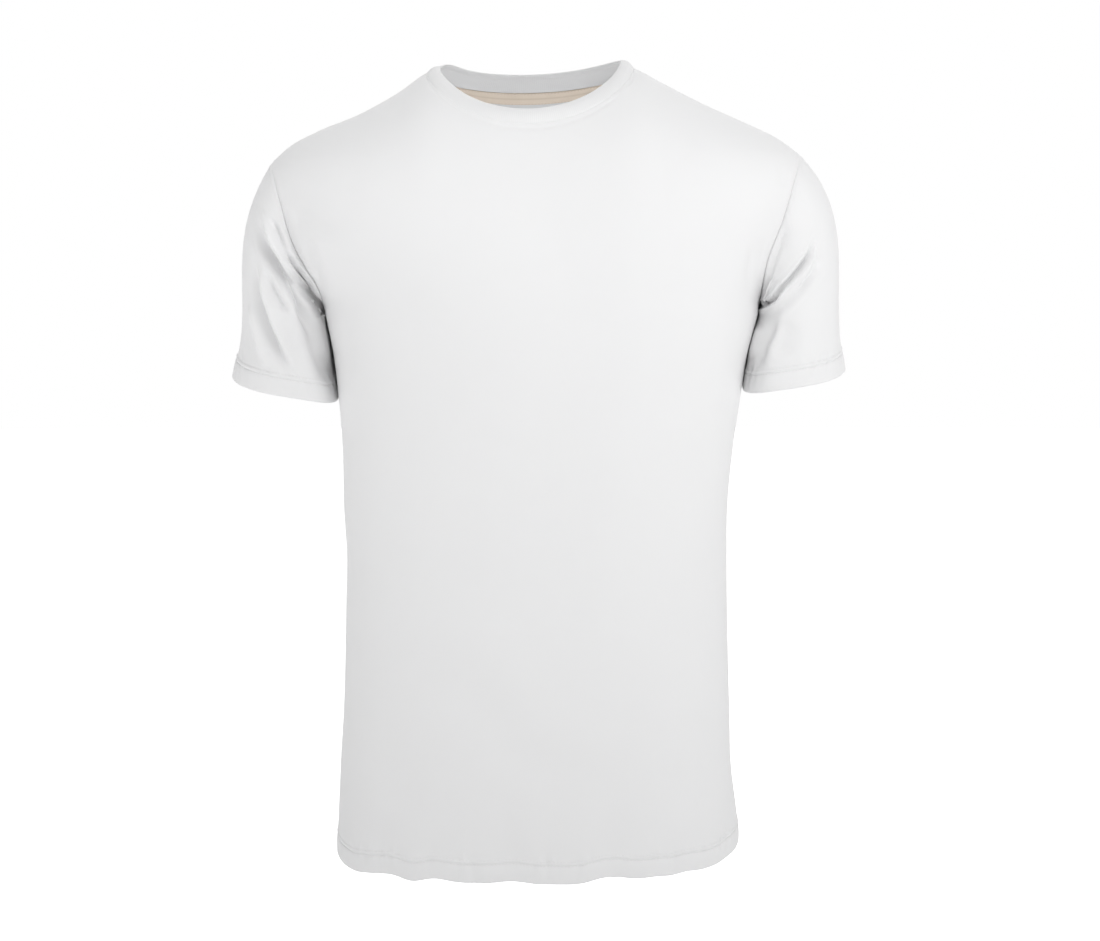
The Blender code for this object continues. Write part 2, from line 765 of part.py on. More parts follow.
def build_neckband(outer, face_normals):
    edges = [outer[face][-1, neck_columns(face)].copy() for face in ("front", "back")]
    edge_normals = [face_normals[face][-1, neck_columns(face)] for face in ("front", "back")]
    for edge in edges:
        edge[[0, -1], 1] = 0.0
    seam_points = ring_of(*edges)
    front_angle = np.linspace(0, math.pi, FACES["front"]["neck_columns"] + 1)
    back_angle = np.linspace(0, math.pi, FACES["back"]["neck_columns"] + 1)
    angle = np.concatenate([front_angle, 2 * math.pi - back_angle[-2:0:-1]])
    top = band_top_ring(angle)
    seam = Seam(seam_points, ring_of(*edge_normals), unit(top - seam_points))
    start = seam.outer(1)
    run = unit(np.roll(start, -1, 0) - np.roll(start, 1, 0))
    facing = unit(np.cross(run, top - start))
    facing[(facing * seam.out).sum(1) < 0] *= -1
    outer_rows, inner_rows = [], []
    for up, out in zip(BAND_SECTION["up"], BAND_SECTION["out"]):
        middle = mixed(start, top, up) - facing * RIB_THICK / 2
        middle = middle + facing * BAND_BULGE * math.sin(up * math.pi)
        outer_rows.append(middle + facing * RIB_THICK * out)
        inner_rows.append(middle - facing * RIB_THICK * out)
    outer_rows[0] = start
    inner_rows[0] = seam.inner(1, RIB_THICK)
    return np.array(outer_rows), np.array(inner_rows), seam


def set_neck_edges(outer, inner, seam):
    count = FACES["front"]["neck_columns"]
    outers = split_ring(seam.outer(-1), count)
    inners = split_ring(seam.inner(-1, JERSEY), count)
    for face, edge, lining in zip(("front", "back"), outers, inners):
        nudge = np.zeros(len(edge))
        nudge[[0, -1]] = FACES[face]["sign"] * SEAM_GAP / 2
        columns = neck_columns(face)
        outer[face][-1, columns] = edge
        inner[face][-1, columns] = lining
        outer[face][-1, columns, 1] += nudge
        inner[face][-1, columns, 1] += nudge


def add_neck_tape(back_inner, back_normals, material, collection):
    """A strip over the back neck seam, on the panel's inner points, moved in."""
    columns = neck_columns("back")
    under = back_inner[-2:, columns]
    inward = -back_normals[-2:, columns]
    against = under + inward * TAPE_GAP
    face = against + inward * TAPE_THICK
    for layer in (against, face):
        layer[0] = mixed(layer[1], layer[0], TAPE_SHARE)
        layer[:, 0] = mixed(layer[:, 0], layer[:, 1], TAPE_INSET)
        layer[:, -1] = mixed(layer[:, -1], layer[:, -2], TAPE_INSET)
    cloth_object("back_neck_tape", against[:, ::-1], face[:, ::-1], material, collection)


def add_sleeve(name, side, outer, inner, material, collection):
    way = slice(None) if side < 0 else slice(None, None, -1)
    cloth_object(name, outer[:, way], inner[:, way], material, collection, closed=True)


build_all()
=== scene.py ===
import math

import bpy
import numpy as np
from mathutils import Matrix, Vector


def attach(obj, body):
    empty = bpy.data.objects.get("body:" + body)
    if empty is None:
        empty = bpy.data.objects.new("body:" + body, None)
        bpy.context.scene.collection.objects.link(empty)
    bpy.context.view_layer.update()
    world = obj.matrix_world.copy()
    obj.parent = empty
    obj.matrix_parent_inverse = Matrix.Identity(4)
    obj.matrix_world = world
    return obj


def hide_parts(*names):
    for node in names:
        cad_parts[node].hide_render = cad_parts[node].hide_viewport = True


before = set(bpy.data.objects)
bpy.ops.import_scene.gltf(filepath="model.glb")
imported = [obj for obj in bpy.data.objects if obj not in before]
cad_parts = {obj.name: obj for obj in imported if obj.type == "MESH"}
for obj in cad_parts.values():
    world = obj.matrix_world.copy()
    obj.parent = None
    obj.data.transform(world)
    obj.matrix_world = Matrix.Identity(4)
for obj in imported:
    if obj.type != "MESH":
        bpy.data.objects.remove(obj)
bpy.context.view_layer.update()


# small helpers: named tables, smooth curves and blends


def table(columns, *rows):
    return dict(zip(columns.split(), np.array(rows, float).T))


def curve(at, xs, ys):
    slopes = np.gradient(ys, xs)
    at = np.clip(at, xs[0], xs[-1])
    i = np.clip(np.searchsorted(xs, at) - 1, 0, len(xs) - 2)
    step = xs[i + 1] - xs[i]
    t = (at - xs[i]) / step
    return (
        ys[i] * (1 + 2 * t) * (1 - t) ** 2
        + ys[i + 1] * t**2 * (3 - 2 * t)
        + step * t * (1 - t) * (slopes[i] * (1 - t) - slopes[i + 1] * t)
    )


def ease(t):
    t = np.clip(t, 0.0, 1.0)
    return t * t * (3 - 2 * t)


def mixed(a, b, t):
    return a + (b - a) * t


def unit(v):
    return v / np.maximum(np.linalg.norm(v, axis=-1, keepdims=True), 1e-12)


def bump(distance, width):
    return np.exp(-((distance / width) ** 2))


def lengths(points, axis=0):
    # running length along a line of points, or along each line of a grid
    gaps = np.linalg.norm(np.diff(points, axis=axis), axis=-1)
    return np.concatenate([np.zeros_like(gaps.take([0], axis)), np.cumsum(gaps, axis)], axis)


def curved(marks, run, values):
    return np.stack([curve(marks, run, values[:, k]) for k in range(values.shape[1])], axis=-1)


def between(marks, run, values):
    # straight from point to point
    return np.stack([np.interp(marks, run, values[:, k]) for k in range(values.shape[1])], axis=-1)


def along(line, marks):
    # points at these distances along a line
    run = lengths(line)
    keep = np.concatenate([[True], np.diff(run) > 1e-9])
    return curved(marks, run[keep], line[keep])


def noiseWave(s, *waves):
    # a fixed uneven wave: (length, height, phase) of each part
    total = np.zeros(np.shape(s))
    for length, height, phase in waves:
        total = total + height * np.sin(2 * math.pi * s / length + phase)
    return total


# the shirt's form, the same as the solids'

seamGap = 0.00006
underarmZ = {-1: -0.218, 1: -0.212}
neck = {"x": -0.007, "half": 0.0905, "sideZ": -0.006, "tilt": 0.02}

body = table(
    "height   right   left    front   back",
    (-0.700, 0.1782, 0.1772, 0.1160, 0.1120),
    (-0.667, 0.1770, 0.1760, 0.1163, 0.1120),
    (-0.611, 0.1744, 0.1695, 0.1162, 0.1110),
    (-0.567, 0.1718, 0.1683, 0.1155, 0.1095),
    (-0.470, 0.1692, 0.1659, 0.1140, 0.1060),
    (-0.430, 0.1684, 0.1655, 0.1143, 0.1055),
    (-0.390, 0.1708, 0.1658, 0.1152, 0.1057),
    (-0.340, 0.1718, 0.1700, 0.1180, 0.1080),
    (-0.294, 0.1747, 0.1768, 0.1210, 0.1110),
    (-0.250, 0.1800, 0.1838, 0.1245, 0.1150),
    (-0.218, 0.1865, 0.1920, 0.1262, 0.1170),
    (-0.150, 0.2000, 0.2000, 0.1270, 0.1180),
    (+0.010, 0.2200, 0.2200, 0.1270, 0.1180),
)
armhole = table(
    "rise  right   left    front  back",
    (0.00, 0.1865, 0.1925, 0.000, 0.000),
    (0.04, 0.1866, 0.1926, 0.144, 0.160),
    (0.11, 0.1880, 0.1932, 0.280, 0.310),
    (0.20, 0.1922, 0.1945, 0.385, 0.425),
    (0.30, 0.2003, 0.1970, 0.440, 0.480),
    (0.42, 0.2085, 0.2025, 0.490, 0.520),
    (0.55, 0.2148, 0.2092, 0.525, 0.545),
    (0.70, 0.2203, 0.2155, 0.560, 0.570),
    (0.85, 0.2265, 0.2215, 0.600, 0.600),
    (1.00, 0.2325, 0.2280, 0.630, 0.630),
)
shoulder = table(
    "across    height",
    (-0.2325, -0.0860),
    (-0.2187, -0.0735),
    (-0.1923, -0.0590),
    (-0.1571, -0.0445),
    (-0.1219, -0.0250),
    (-0.0975, -0.0080),
    (-0.0600, +0.0005),
    (-0.0070, +0.0020),
    (+0.0450, +0.0008),
    (+0.0835, -0.0040),
    (+0.1069, -0.0162),
    (+0.1421, -0.0343),
    (+0.1773, -0.0502),
    (+0.2125, -0.0675),
    (+0.2280, -0.0790),
)
# the hem's edge is a little uneven
hemLine = {
    "front": table(
        "across  height",
        (-1.00, -0.6905), (-0.97, -0.6945), (-0.94, -0.6967), (-0.90, -0.6985), (-0.82, -0.6980),
        (-0.71, -0.6970), (-0.61, -0.7004), (-0.50, -0.6976), (-0.38, -0.6996), (-0.25, -0.6997),
        (-0.115, -0.6983), (0.00, -0.7004), (0.06, -0.7006), (0.20, -0.7001), (0.32, -0.6957),
        (0.38, -0.6955), (0.47, -0.6971), (0.58, -0.6963), (0.65, -0.6966), (0.72, -0.6945),
        (0.80, -0.6942), (0.87, -0.6922), (0.93, -0.6880), (0.97, -0.6850), (1.00, -0.6810),
    ),
    "back": table(
        "across  height",
        (-1.00, -0.6905), (-0.95, -0.6950), (-0.87, -0.6972), (-0.72, -0.6962), (-0.60, -0.6990),
        (-0.44, -0.6972), (-0.30, -0.7002), (-0.12, -0.7004), (0.02, -0.6984), (0.16, -0.7000),
        (0.30, -0.6996), (0.42, -0.6962), (0.55, -0.6974), (0.68, -0.6950), (0.80, -0.6948),
        (0.90, -0.6905), (0.96, -0.6862), (1.00, -0.6810),
    ),
}
faces = {
    "front": {"sign": -1, "fullness": 2.45, "turn": 0.300, "riseNeck": 0.667,
              "neckDrop": 0.0513, "neckPower": 1.4, "neckShare": 16 / 26, "puckerShift": 0.0},
    "back": {"sign": 1, "fullness": 2.3, "turn": 0.190, "riseNeck": 0.5,
             "neckDrop": 0.0125, "neckPower": 1.6, "neckShare": 14 / 24, "puckerShift": 1.7},
}
yoke = {
    "fallPower": 2 / 3,  # how round the cloth falls from the shoulder line
    "archPower": 3,
    "riseSide": 0.5,  # what riseNeck turns into beyond riseFrom, over riseOver
    "riseFrom": 0.06,
    "riseOver": 0.15,
    "rowPower": 1.15,  # above 1, the rows lie closer together low down
    "nearTop": 0.97,
    "leastRow": 0.004,
    "rounds": 14,  # to find where a row meets the armhole
}


def shoulderLine(x):
    return curve(x, shoulder["across"], shoulder["height"])


def sideName(side):
    return "right" if side < 0 else "left"


def shoulderPoint(side):
    x = side * armhole[sideName(side)][-1]
    return x, float(shoulderLine(x))


def armholeRise(side, z):
    bottom = underarmZ[side]
    return (z - bottom) / (shoulderPoint(side)[1] - bottom)


def armholeX(side, z):
    return curve(armholeRise(side, z), armhole["rise"], armhole[sideName(side)])


def halfWidth(face, side, z):
    power = faces[face]["fullness"]
    rise = armholeRise(side, z)
    below = curve(z, body["height"], body[sideName(side)])
    share = curve(rise, armhole["rise"], armhole[face])
    above = armholeX(side, z) / (1 - np.abs(share) ** power) ** (1 / power)
    return np.where(rise < 0, below, above)


def underarmTurn(side):
    x = side * armhole[sideName(side)][0]
    return float(shoulderLine(x)) - underarmZ[side]


def turnHeight(face, x):
    sideTurn = np.where(x < 0, underarmTurn(-1), underarmTurn(1))
    edge = np.where(x < 0, armhole["right"][0], armhole["left"][0])
    return mixed(faces[face]["turn"], sideTurn, ease(np.abs(x) / edge))


def faceY(face, x, z):
    shape = faces[face]
    power = shape["fullness"]
    width = np.where(x < 0, halfWidth(face, -1, z), halfWidth(face, 1, z))
    side = (1 - np.clip(np.abs(x) / width, 0, 1) ** power) ** (1 / power)
    fall = np.clip((shoulderLine(x) - z) / turnHeight(face, x), 0, 1)
    out = ease((np.abs(x) - yoke["riseFrom"]) / yoke["riseOver"])
    steep = mixed(shape["riseNeck"], yoke["riseSide"], out)
    arch = np.clip(1 - (1 - fall) ** yoke["archPower"], 0, 1) ** steep
    depth = curve(z, body["height"], body[face]) * arch * side
    return shape["sign"] * np.maximum(depth, seamGap / 2)


def bodyX(side, y, z):
    width = curve(z, body["height"], body[sideName(side)])
    reach = {}
    for face in faces:
        power = faces[face]["fullness"]
        share = np.clip(np.abs(y) / curve(z, body["height"], body[face]), 0, 1)
        reach[face] = width * (1 - share**power) ** (1 / power)
    return np.where(y < 0, reach["front"], reach["back"])


# grids: rows go up the cloth, columns across it

panel = {
    "neckColumns": {"front": 148, "back": 140},
    "shoulderColumns": {"front": 48, "back": 52},
    "bodyRows": 74,
    "yokeRows": 104,
    "edgeSteps": [0, 0.0007, 0.0016, 0.003, 0.005],  # finer columns and rows beside a seam
    "wall": 0.0013,
    "hemWall": 0.0023,
    "hemWidth": 0.020,
    "hemRows": [0, 0.0004, 0.001, 0.0025, 0.005, 0.008, 0.011, 0.0132, 0.0144, 0.0152, 0.016,
                0.0168, 0.0176, 0.0184, 0.0192, 0.02, 0.0208, 0.0216, 0.0228, 0.0245, 0.0275],
}


def topEdge(face):
    shape = faces[face]
    neckCount, shoulderCount = panel["neckColumns"][face], panel["shoulderColumns"][face]
    angle = np.linspace(math.pi, 0, neckCount + 1)
    x = neck["x"] + neck["half"] * np.cos(angle)
    z = neck["sideZ"] - shape["neckDrop"] * np.sin(angle) ** shape["neckPower"]
    z = z + neck["tilt"] * (x - neck["x"])
    z[[0, -1]] = shoulderLine(x[[0, -1]])
    z = np.minimum(z, shoulderLine(x))
    right = np.linspace(shoulderPoint(-1)[0], x[0], shoulderCount + 1)[:-1]
    left = np.linspace(x[-1], shoulderPoint(1)[0], shoulderCount + 1)[1:]
    return (np.concatenate([right, x, left]),
            np.concatenate([shoulderLine(right), z, shoulderLine(left)]))


def fallAt(angle):
    return 1 - np.cos(angle) ** yoke["fallPower"]


def armholeHeights(face, angle):
    heights = {}
    for side in (-1, 1):
        z = np.full_like(angle, underarmZ[side])
        for _ in range(yoke["rounds"]):
            x = side * armholeX(side, z)
            z = shoulderLine(x) - turnHeight(face, x) * fallAt(angle)
        heights[side] = z
    return heights


def lowAcross(face):
    # the columns' places at the chest, as shares of the half width
    neckCount, shoulderCount = panel["neckColumns"][face], panel["shoulderColumns"][face]
    share = faces[face]["neckShare"]
    t = np.concatenate([
        np.linspace(-1, -share, shoulderCount + 1)[:-1],
        np.linspace(-share, share, neckCount + 1),
        np.linspace(share, 1, shoulderCount + 1)[1:],
    ])
    return np.sin(t * math.pi / 2)


def yokeGrid(face, rows):
    topX, topZ = topEdge(face)
    low = lowAcross(face)
    across = topX / np.where(topX < 0, -topX[0], topX[-1])
    fallTop = (shoulderLine(topX) - topZ) / turnHeight(face, topX)
    angleTop = np.arccos(np.clip((1 - fallTop) ** (1 / yoke["fallPower"]), 0, 1))
    angleTop[np.abs(topZ - shoulderLine(topX)) < 1e-7] = 0.0
    edges = armholeHeights(face, (1 - rows) * math.pi / 2)
    grid = []
    for i, up in enumerate(rows):
        share = mixed(low, across, ease(up))
        edge = np.where(share < 0, armholeX(-1, edges[-1][i]), armholeX(1, edges[1][i]))
        x = share * edge
        z = shoulderLine(x) - turnHeight(face, x) * fallAt(mixed(math.pi / 2, angleTop, up))
        if up == 1:
            x, z = topX, topZ
        grid.append(np.stack([x, faceY(face, x, z), z], axis=1))
    return np.array(grid)


def skirtGrid(face, chest):
    low = lowAcross(face)
    hem = curve(low, hemLine[face]["across"], hemLine[face]["height"])
    rows = [hem + height for height in panel["hemRows"]]
    ups = np.linspace(0, 1, panel["bodyRows"])[1:-1]
    rows += [mixed(hem + panel["hemRows"][-1], chest[:, 2], up) for up in ups]
    grid = []
    for z in rows:
        ends = [halfWidth(face, side, z[k]) for side, k in ((-1, 0), (1, -1))]
        x = low * np.where(low < 0, ends[0], ends[1])
        grid.append(np.stack([x, faceY(face, x, z), z], axis=1))
    return np.array(grid)


chestRow = len(panel["hemRows"]) + panel["bodyRows"] - 2


def evenRow(row, face):
    # spreads a row's columns evenly, finer at its two ends
    count = panel["shoulderColumns"][face]
    steps = np.array(panel["edgeSteps"])
    parts = [row[: count + 1], row[count:-count], row[-count - 1:]]
    placed = []
    for k, part in enumerate(parts):
        total = lengths(part)[-1]
        if k == 1:
            marks = np.linspace(0, total, len(part))
        else:
            even = np.linspace(steps[-1], total, len(part) - len(steps) + 1)
            marks = np.concatenate([steps, even[1:]])
        if k == 2:
            marks = total - marks[::-1]
        placed.append(along(part, marks))
    return np.concatenate([placed[0][:-1], placed[1], placed[2][1:]])


def faceGrid(face):
    rows = np.linspace(0, 1, panel["yokeRows"] - 3) ** yoke["rowPower"]
    near = yokeGrid(face, np.array([yoke["nearTop"], 1.0]))
    reach = np.linalg.norm(near[1] - near[0], axis=1).mean() / (1 - yoke["nearTop"])
    fine = 1 - np.array(panel["edgeSteps"][1:][::-1]) / reach
    rows = np.concatenate([rows[:-1][rows[:-1] < fine[0] - yoke["leastRow"]], fine, [1.0]])
    top = yokeGrid(face, rows)
    grid = np.concatenate([skirtGrid(face, top[0]), top])
    return np.array([evenRow(row, face) for row in grid])


def tangents(grid, axis, closed=False):
    if closed:
        return np.roll(grid, -1, axis) - np.roll(grid, 1, axis)
    return np.gradient(grid, axis=axis)


def normals(grid, closed=False):
    return unit(np.cross(tangents(grid, 1, closed), tangents(grid, 0)))


# creases are soft troughs along bent lines, with the cloth lifted on both sides

creaseLook = {
    "points": 33,  # along each line
    "reach": 4.5,  # a crease moves nothing farther off, in its widths
    "liftAt": 1.9,
    "ends": 0.02,
}


def crease(width, depth, *line, lift=0.3, liftBack=0.15, fade=(0.35, 0.35)):
    # width, depth and the line's (x, z) points from its start to its end in the front view, in mm
    return {"width": width / 1000, "depth": depth / 1000, "line": np.array(line) / 1000,
            "lift": lift, "liftBack": liftBack, "fade": fade}


def ridge(width, height, *line):
    return crease(width, -height, *line, lift=0, liftBack=0)


def hemFold(width, depth, *line):
    # a crease that runs out over the hem
    return crease(width, depth, *line, fade=(0.8, 0.02))


def nearest(line, x, z):
    # how far each point lies off a line, and how far along it as a share
    best = np.full(x.shape, np.inf)
    off, run = np.zeros(x.shape), np.zeros(x.shape)
    reached = lengths(line)
    for k in range(len(line) - 1):
        way = line[k + 1] - line[k]
        size = np.linalg.norm(way)
        way = way / size
        ahead = (x - line[k, 0]) * way[0] + (z - line[k, 1]) * way[1]
        side = (x - line[k, 0]) * way[1] - (z - line[k, 1]) * way[0]
        held = np.clip(ahead, 0, size)
        gap = np.hypot(ahead - held, side)
        closer = gap < best
        best = np.where(closer, gap, best)
        off = np.where(closer, np.where(side < 0, -gap, gap), off)
        run = np.where(closer, reached[k] + held, run)
    return off, run / reached[-1]


def creaseDepth(points, creases):
    # how far the creases sink the cloth
    x, z = points[..., 0], points[..., 2]
    total = np.zeros(x.shape)
    for made in creases:
        width, fade, ends = made["width"], made["fade"], creaseLook["ends"]
        marks = np.linspace(0, 1, len(made["line"]))
        line = curved(np.linspace(0, 1, creaseLook["points"]), marks, made["line"])
        reach = creaseLook["reach"] * width
        near = ((x > line[:, 0].min() - reach) & (x < line[:, 0].max() + reach)
                & (z > line[:, 1].min() - reach) & (z < line[:, 1].max() + reach))
        off, run = nearest(line, x[near], z[near])
        taper = ease((run + ends) / fade[0]) * ease((1 + ends - run) / fade[1])
        liftAt = creaseLook["liftAt"] * width
        shape = bump(off, width) - made["lift"] * bump(off - liftAt, width)
        shape = shape - made["liftBack"] * bump(off + liftAt, width)
        total[near] += made["depth"] * taper * shape
    return total


def creased(grid, creases, keep, sign=1, closed=False):
    depth = creaseDepth(grid, creases) * keep * sign
    return grid - normals(grid, closed) * depth[..., None]


frontCreases = [
    crease(8.5, 2.4, (-221, -132.5), (-193.7, -141.9), (-165.5, -158.2), lift=0.2, liftBack=0.1),
    crease(6.2, 2.4, (-202.2, -148.4), (-194.5, -170.8), (-185.9, -200), lift=0.2, liftBack=0.1),
    crease(3.6, 1, (180.7, -160.5), (179.9, -181.1), (181.6, -200)),
    crease(7.5, 1.8, (218.5, -79.1), (213.4, -94.7), (211.6, -111.9), lift=0.1, liftBack=0.1),
    crease(11, 1.8, (194, -148), (186, -175), (180, -205)),
    crease(12, 2, (178, -240), (170, -280), (158, -330)),
    crease(12, 1.6, (-170, -235), (-160, -270), (-150, -300)),
    crease(17, 1, (-136, -212), (-112, -223), (-90, -228)),
    crease(22, 1, (-120, -60), (-95, -100), (-60, -130)),
    crease(22, 1, (128, -60), (98, -105), (60, -138)),
    crease(21, 0.8, (6, -110), (20, -170), (42, -245)),
    crease(18, 1.2, (-140, -519), (-82, -528), (-52, -542), (-30, -577), (10, -604), (85, -618),
           lift=0.1, liftBack=0.5),
    crease(18, 1.6, (-145, -560), (-120, -610), (-112, -660)),
    crease(18, 1.6, (150, -550), (128, -600), (122, -655)),
    hemFold(12, 1.5, (-127, -625), (-130, -665), (-131, -699)),
    hemFold(8, 1.3, (-88, -662), (-90, -700)),
    hemFold(4.5, 1, (-56, -672), (-54, -702)),
    hemFold(12, 1.4, (-30, -600), (-27, -650), (-24, -702)),
    hemFold(13, 1.8, (66, -620), (62, -660), (61, -700)),
    hemFold(10, 1.3, (112, -655), (118, -698)),
    ridge(1.6, 0.6, (84.5, -15), (76, -24.5), (64, -33.5), (52, -39.5)),
]
backCreases = [
    crease(15, 3, (-200, -190), (-165, -225), (-130, -260)),
    crease(15, 3, (200, -180), (168, -225), (135, -270)),
    crease(26, 3.4, (-60, -400), (5, -421), (75, -430)),
    crease(18, 1.2, (-120, -55), (-80, -75), (-30, -80)),
    crease(18, 1.2, (112, -50), (76, -70), (30, -76)),
    crease(18, 1.4, (-150, -340), (-110, -375), (-50, -392)),
    crease(18, 1.4, (152, -350), (118, -382), (70, -398)),
    crease(18, 1.6, (-140, -570), (-118, -620), (-112, -665)),
    crease(18, 1.6, (120, -560), (102, -610), (100, -660)),
    crease(8.5, 2.6, (-221, -135), (-190, -148), (-158, -172)),
    crease(6.5, 2.4, (-201, -152), (-193, -178), (-184, -206)),
    crease(9, 2.4, (218, -128), (190, -146), (164, -175)),
    crease(6, 2.2, (199, -150), (192, -176), (184, -205)),
    crease(20, 1.6, (-110, -180), (-119, -280), (-104, -395)),
    crease(21, 1.5, (114, -190), (121, -290), (110, -405)),
    hemFold(11, 1.6, (-118, -630), (-122, -699)),
    hemFold(8, 1.2, (-74, -660), (-76, -700)),
    hemFold(12, 1.5, (2, -620), (4, -702)),
    hemFold(12, 1.7, (78, -640), (74, -700)),
    hemFold(9, 1.2, (124, -660), (128, -698)),
]
sleeveCreases = {
    -1: [
        crease(4.4, 3.4, (-244.4, -131.7), (-237.5, -155), (-225.4, -174), (-214.2, -190.3),
               (-203.9, -208.4), (-195.3, -230), (-190.1, -242.9), lift=0.2, liftBack=0.2),
        ridge(3.6, 2.8, (-241.8, -126.6), (-233.2, -140.3), (-223.7, -160.2), (-216.8, -176.6),
              (-208.2, -192.1), (-200.4, -205), (-193.5, -222.2)),
        crease(2.6, 1.4, (-228.9, -136.9), (-223.7, -149), (-218.5, -161.9), (-214.2, -170.5)),
        crease(2.4, 2.4, (-222, -163.6), (-214.2, -170.5), (-205.6, -180.9), (-196.1, -192.9),
               (-184, -207.6), lift=0.2, liftBack=0.2, fade=(0.3, 0.05)),
        crease(7, 1.8, (-208.3, -208.3), (-202.2, -217), (-198.8, -223.9), (-195.3, -232.6),
               (-192.7, -241.3), (-189.3, -251.7), (-184.1, -267.2), (-181.5, -282.8), lift=0.1,
               liftBack=0.1, fade=(0.25, 0.3)),
        crease(3.2, 1.4, (-234, -180.9), (-227.1, -199), (-219.4, -211.9), (-211.6, -220.5)),
        crease(4.6, 2.8, (-245.3, -167.1), (-241.8, -196.4), (-233.2, -228.3), (-224.6, -248.1),
               (-213.4, -271.4), lift=0.2, liftBack=0.2),
        ridge(4, 1.8, (-248.7, -205), (-242.7, -232.6), (-237.5, -253.3), (-233.2, -265.3)),
        ridge(4.6, 2, (-241.8, -170.5), (-235.8, -199.8), (-227.1, -225.7), (-216.8, -249.8),
              (-207.3, -267.1)),
    ],
    1: [
        crease(2, 3.8, (186, -216.2), (191.4, -211.8), (201, -206.7), (207, -198), (215, -189.4),
               (222.5, -180.7), (231.2, -168.6), (237.3, -152.2), liftBack=0.2, fade=(0.03, 0.35)),
        ridge(3.6, 2, (194.4, -218.8), (204.7, -212.8), (215.1, -204.1), (224.6, -191.2),
              (234, -174), (240.9, -160.2)),
        crease(3.6, 2.8, (196.1, -225.7), (203, -217.1), (213.4, -206.7), (223.7, -195.5),
               (234, -184.3), (242.7, -167.9), lift=0.2, liftBack=0),
        crease(3.6, 2.6, (205.3, -218.8), (201, -229.2), (198.4, -236.1), (194.1, -246.4),
               (191.5, -258.5), (189.8, -268.9), lift=0.2, liftBack=0.2),
        ridge(3.4, 2, (193.2, -225.7), (191.5, -236.1), (188, -246.4), (186.3, -258.5)),
        crease(8.2, 3, (211.6, -139.5), (204.7, -159.3), (197.8, -180.9), (191.8, -202.4),
               lift=0.1, liftBack=0.1),
        crease(9, 1.8, (216.8, -222.2), (211.6, -241.2), (206.5, -258.4), lift=0.1, liftBack=0.1),
    ],
}
# deep pits beside the armpits, which sink straight back
sleevePits = {
    -1: [
        crease(5.8, 30, (-211.8, -177.2), (-206.6, -185.8), (-202.2, -192.8), (-197, -198.8),
               (-191.8, -204.9), (-186.7, -210.9), (-183.2, -216.1), lift=0, liftBack=0,
               fade=(0.55, 0.05)),
    ],
    1: [
        crease(2.4, 4.2, (186, -214), (192.5, -211.8), (201, -206.7), lift=0, liftBack=0,
               fade=(0.05, 0.9)),
    ],
}


# seams between two pieces


seamLook = {
    "dip": 0.00036,  # the cloth turns in at a seam
    "dipWidth": 0.0013,
    "ridge": 0.00018,  # and rises faintly beside it
    "ridgeAt": 0.0034,
    "ridgeWidth": 0.0016,
    "most": 0.0004,
    "leastLean": 0.6,  # keeps a slanted wall from growing too thick
}


def towards(ways, vectors):
    return vectors * np.sign((vectors * ways).sum())


class Seam:
    # a closed line where a second piece leaves a first one
    def __init__(self, points, firstNormals, secondWays):
        self.points = points
        run = unit(np.roll(points, -1, 0) - np.roll(points, 1, 0))
        secondNormals = towards(points - points.mean(0), unit(np.cross(run, secondWays)))
        self.out = unit(firstNormals + secondNormals)
        self.over = towards(secondWays, unit(np.cross(run, self.out)))
        lean = np.abs((self.out * firstNormals).sum(1))
        self.stretch = 1 / np.clip(lean, seamLook["leastLean"], 1)

    def outer(self, which):
        return self.points + self.over * which * seamGap / 2

    def inner(self, which, thickness):
        return self.outer(which) - self.out * (self.stretch * thickness)[:, None]


def ringOf(frontEdge, backEdge):
    return np.concatenate([frontEdge, backEdge[-2:0:-1]])


def ringAngles(front, back):
    return ringOf(front, 2 * math.pi - back)


def splitRing(ring, count):
    return ring[: count + 1], np.concatenate([ring[:1], ring[: count - 1: -1]])


def resampled(ring, marks):
    # points at these places round a closed ring, counted in its own points
    padded = np.concatenate([ring[-3:], ring, ring[:4]])
    return curved(marks + 3, np.arange(len(padded), dtype=float), padded)


def seamDip(distance):
    look = seamLook
    return (look["dip"] * bump(distance, look["dipWidth"])
            - look["ridge"] * bump(distance - look["ridgeAt"], look["ridgeWidth"]))


def panelEdges(place):
    # the panels' edges where another piece is sewn on, and the outward directions there
    edges = [outer[face][place[face]].copy() for face in faces]
    for edge in edges:
        edge[[0, -1], 1] = 0.0
    return edges, ringOf(*(outward[face][place[face]] for face in faces))


def setEdges(seam, place, count):
    for grids, ring in ((outer, seam.outer(-1)), (inner, seam.inner(-1, panel["wall"]))):
        for face, edge in zip(faces, splitRing(ring, count)):
            edge[[0, -1], 1] += faces[face]["sign"] * seamGap / 2
            grids[face][place[face]] = edge


# hems, folded up inside and held by two rows of stitches

hemLook = {
    "twinRows": (0.016, 0.020),
    # grooves under the stitches and swells beside them
    "moves": table(
        "height  out  width",
        (0.0160, -0.00058, 0.0008),
        (0.0200, -0.00040, 0.0008),
        (0.0180, 0.00034, 0.0013),
        (0.0085, 0.00050, 0.0055),
    ),
    "lift": 0.0004,  # of the doubled cloth, which ends at stepAt
    "stepAt": 0.0195,
    "stepOver": 0.003,
    "pucker": 0.00085,
    "puckerAt": 0.018,
    "puckerDown": 0.009,
    "puckerUp": 0.007,
    # length, height and phase of each wave
    "puckerWaves": ((0.0127, 0.5, 1.3), (0.0093, 0.35, 0.4), (0.0211, 0.5, 2.2)),
    "swellWaves": ((0.083, 0.4, 0.5), (0.149, 0.3, 1.0)),
    "swellMiddle": 0.6,
    "top": 0.05,  # nothing of this reaches higher
    "sideShare": 0.25,  # what a side seam leaves of it, up to sideOver away
    "sideOver": 0.02,
    "wallStep": 0.0002,
    "wallOver": 0.0009,
    "edgeRound": 0.001,
    "edgeClose": 0.42,
}


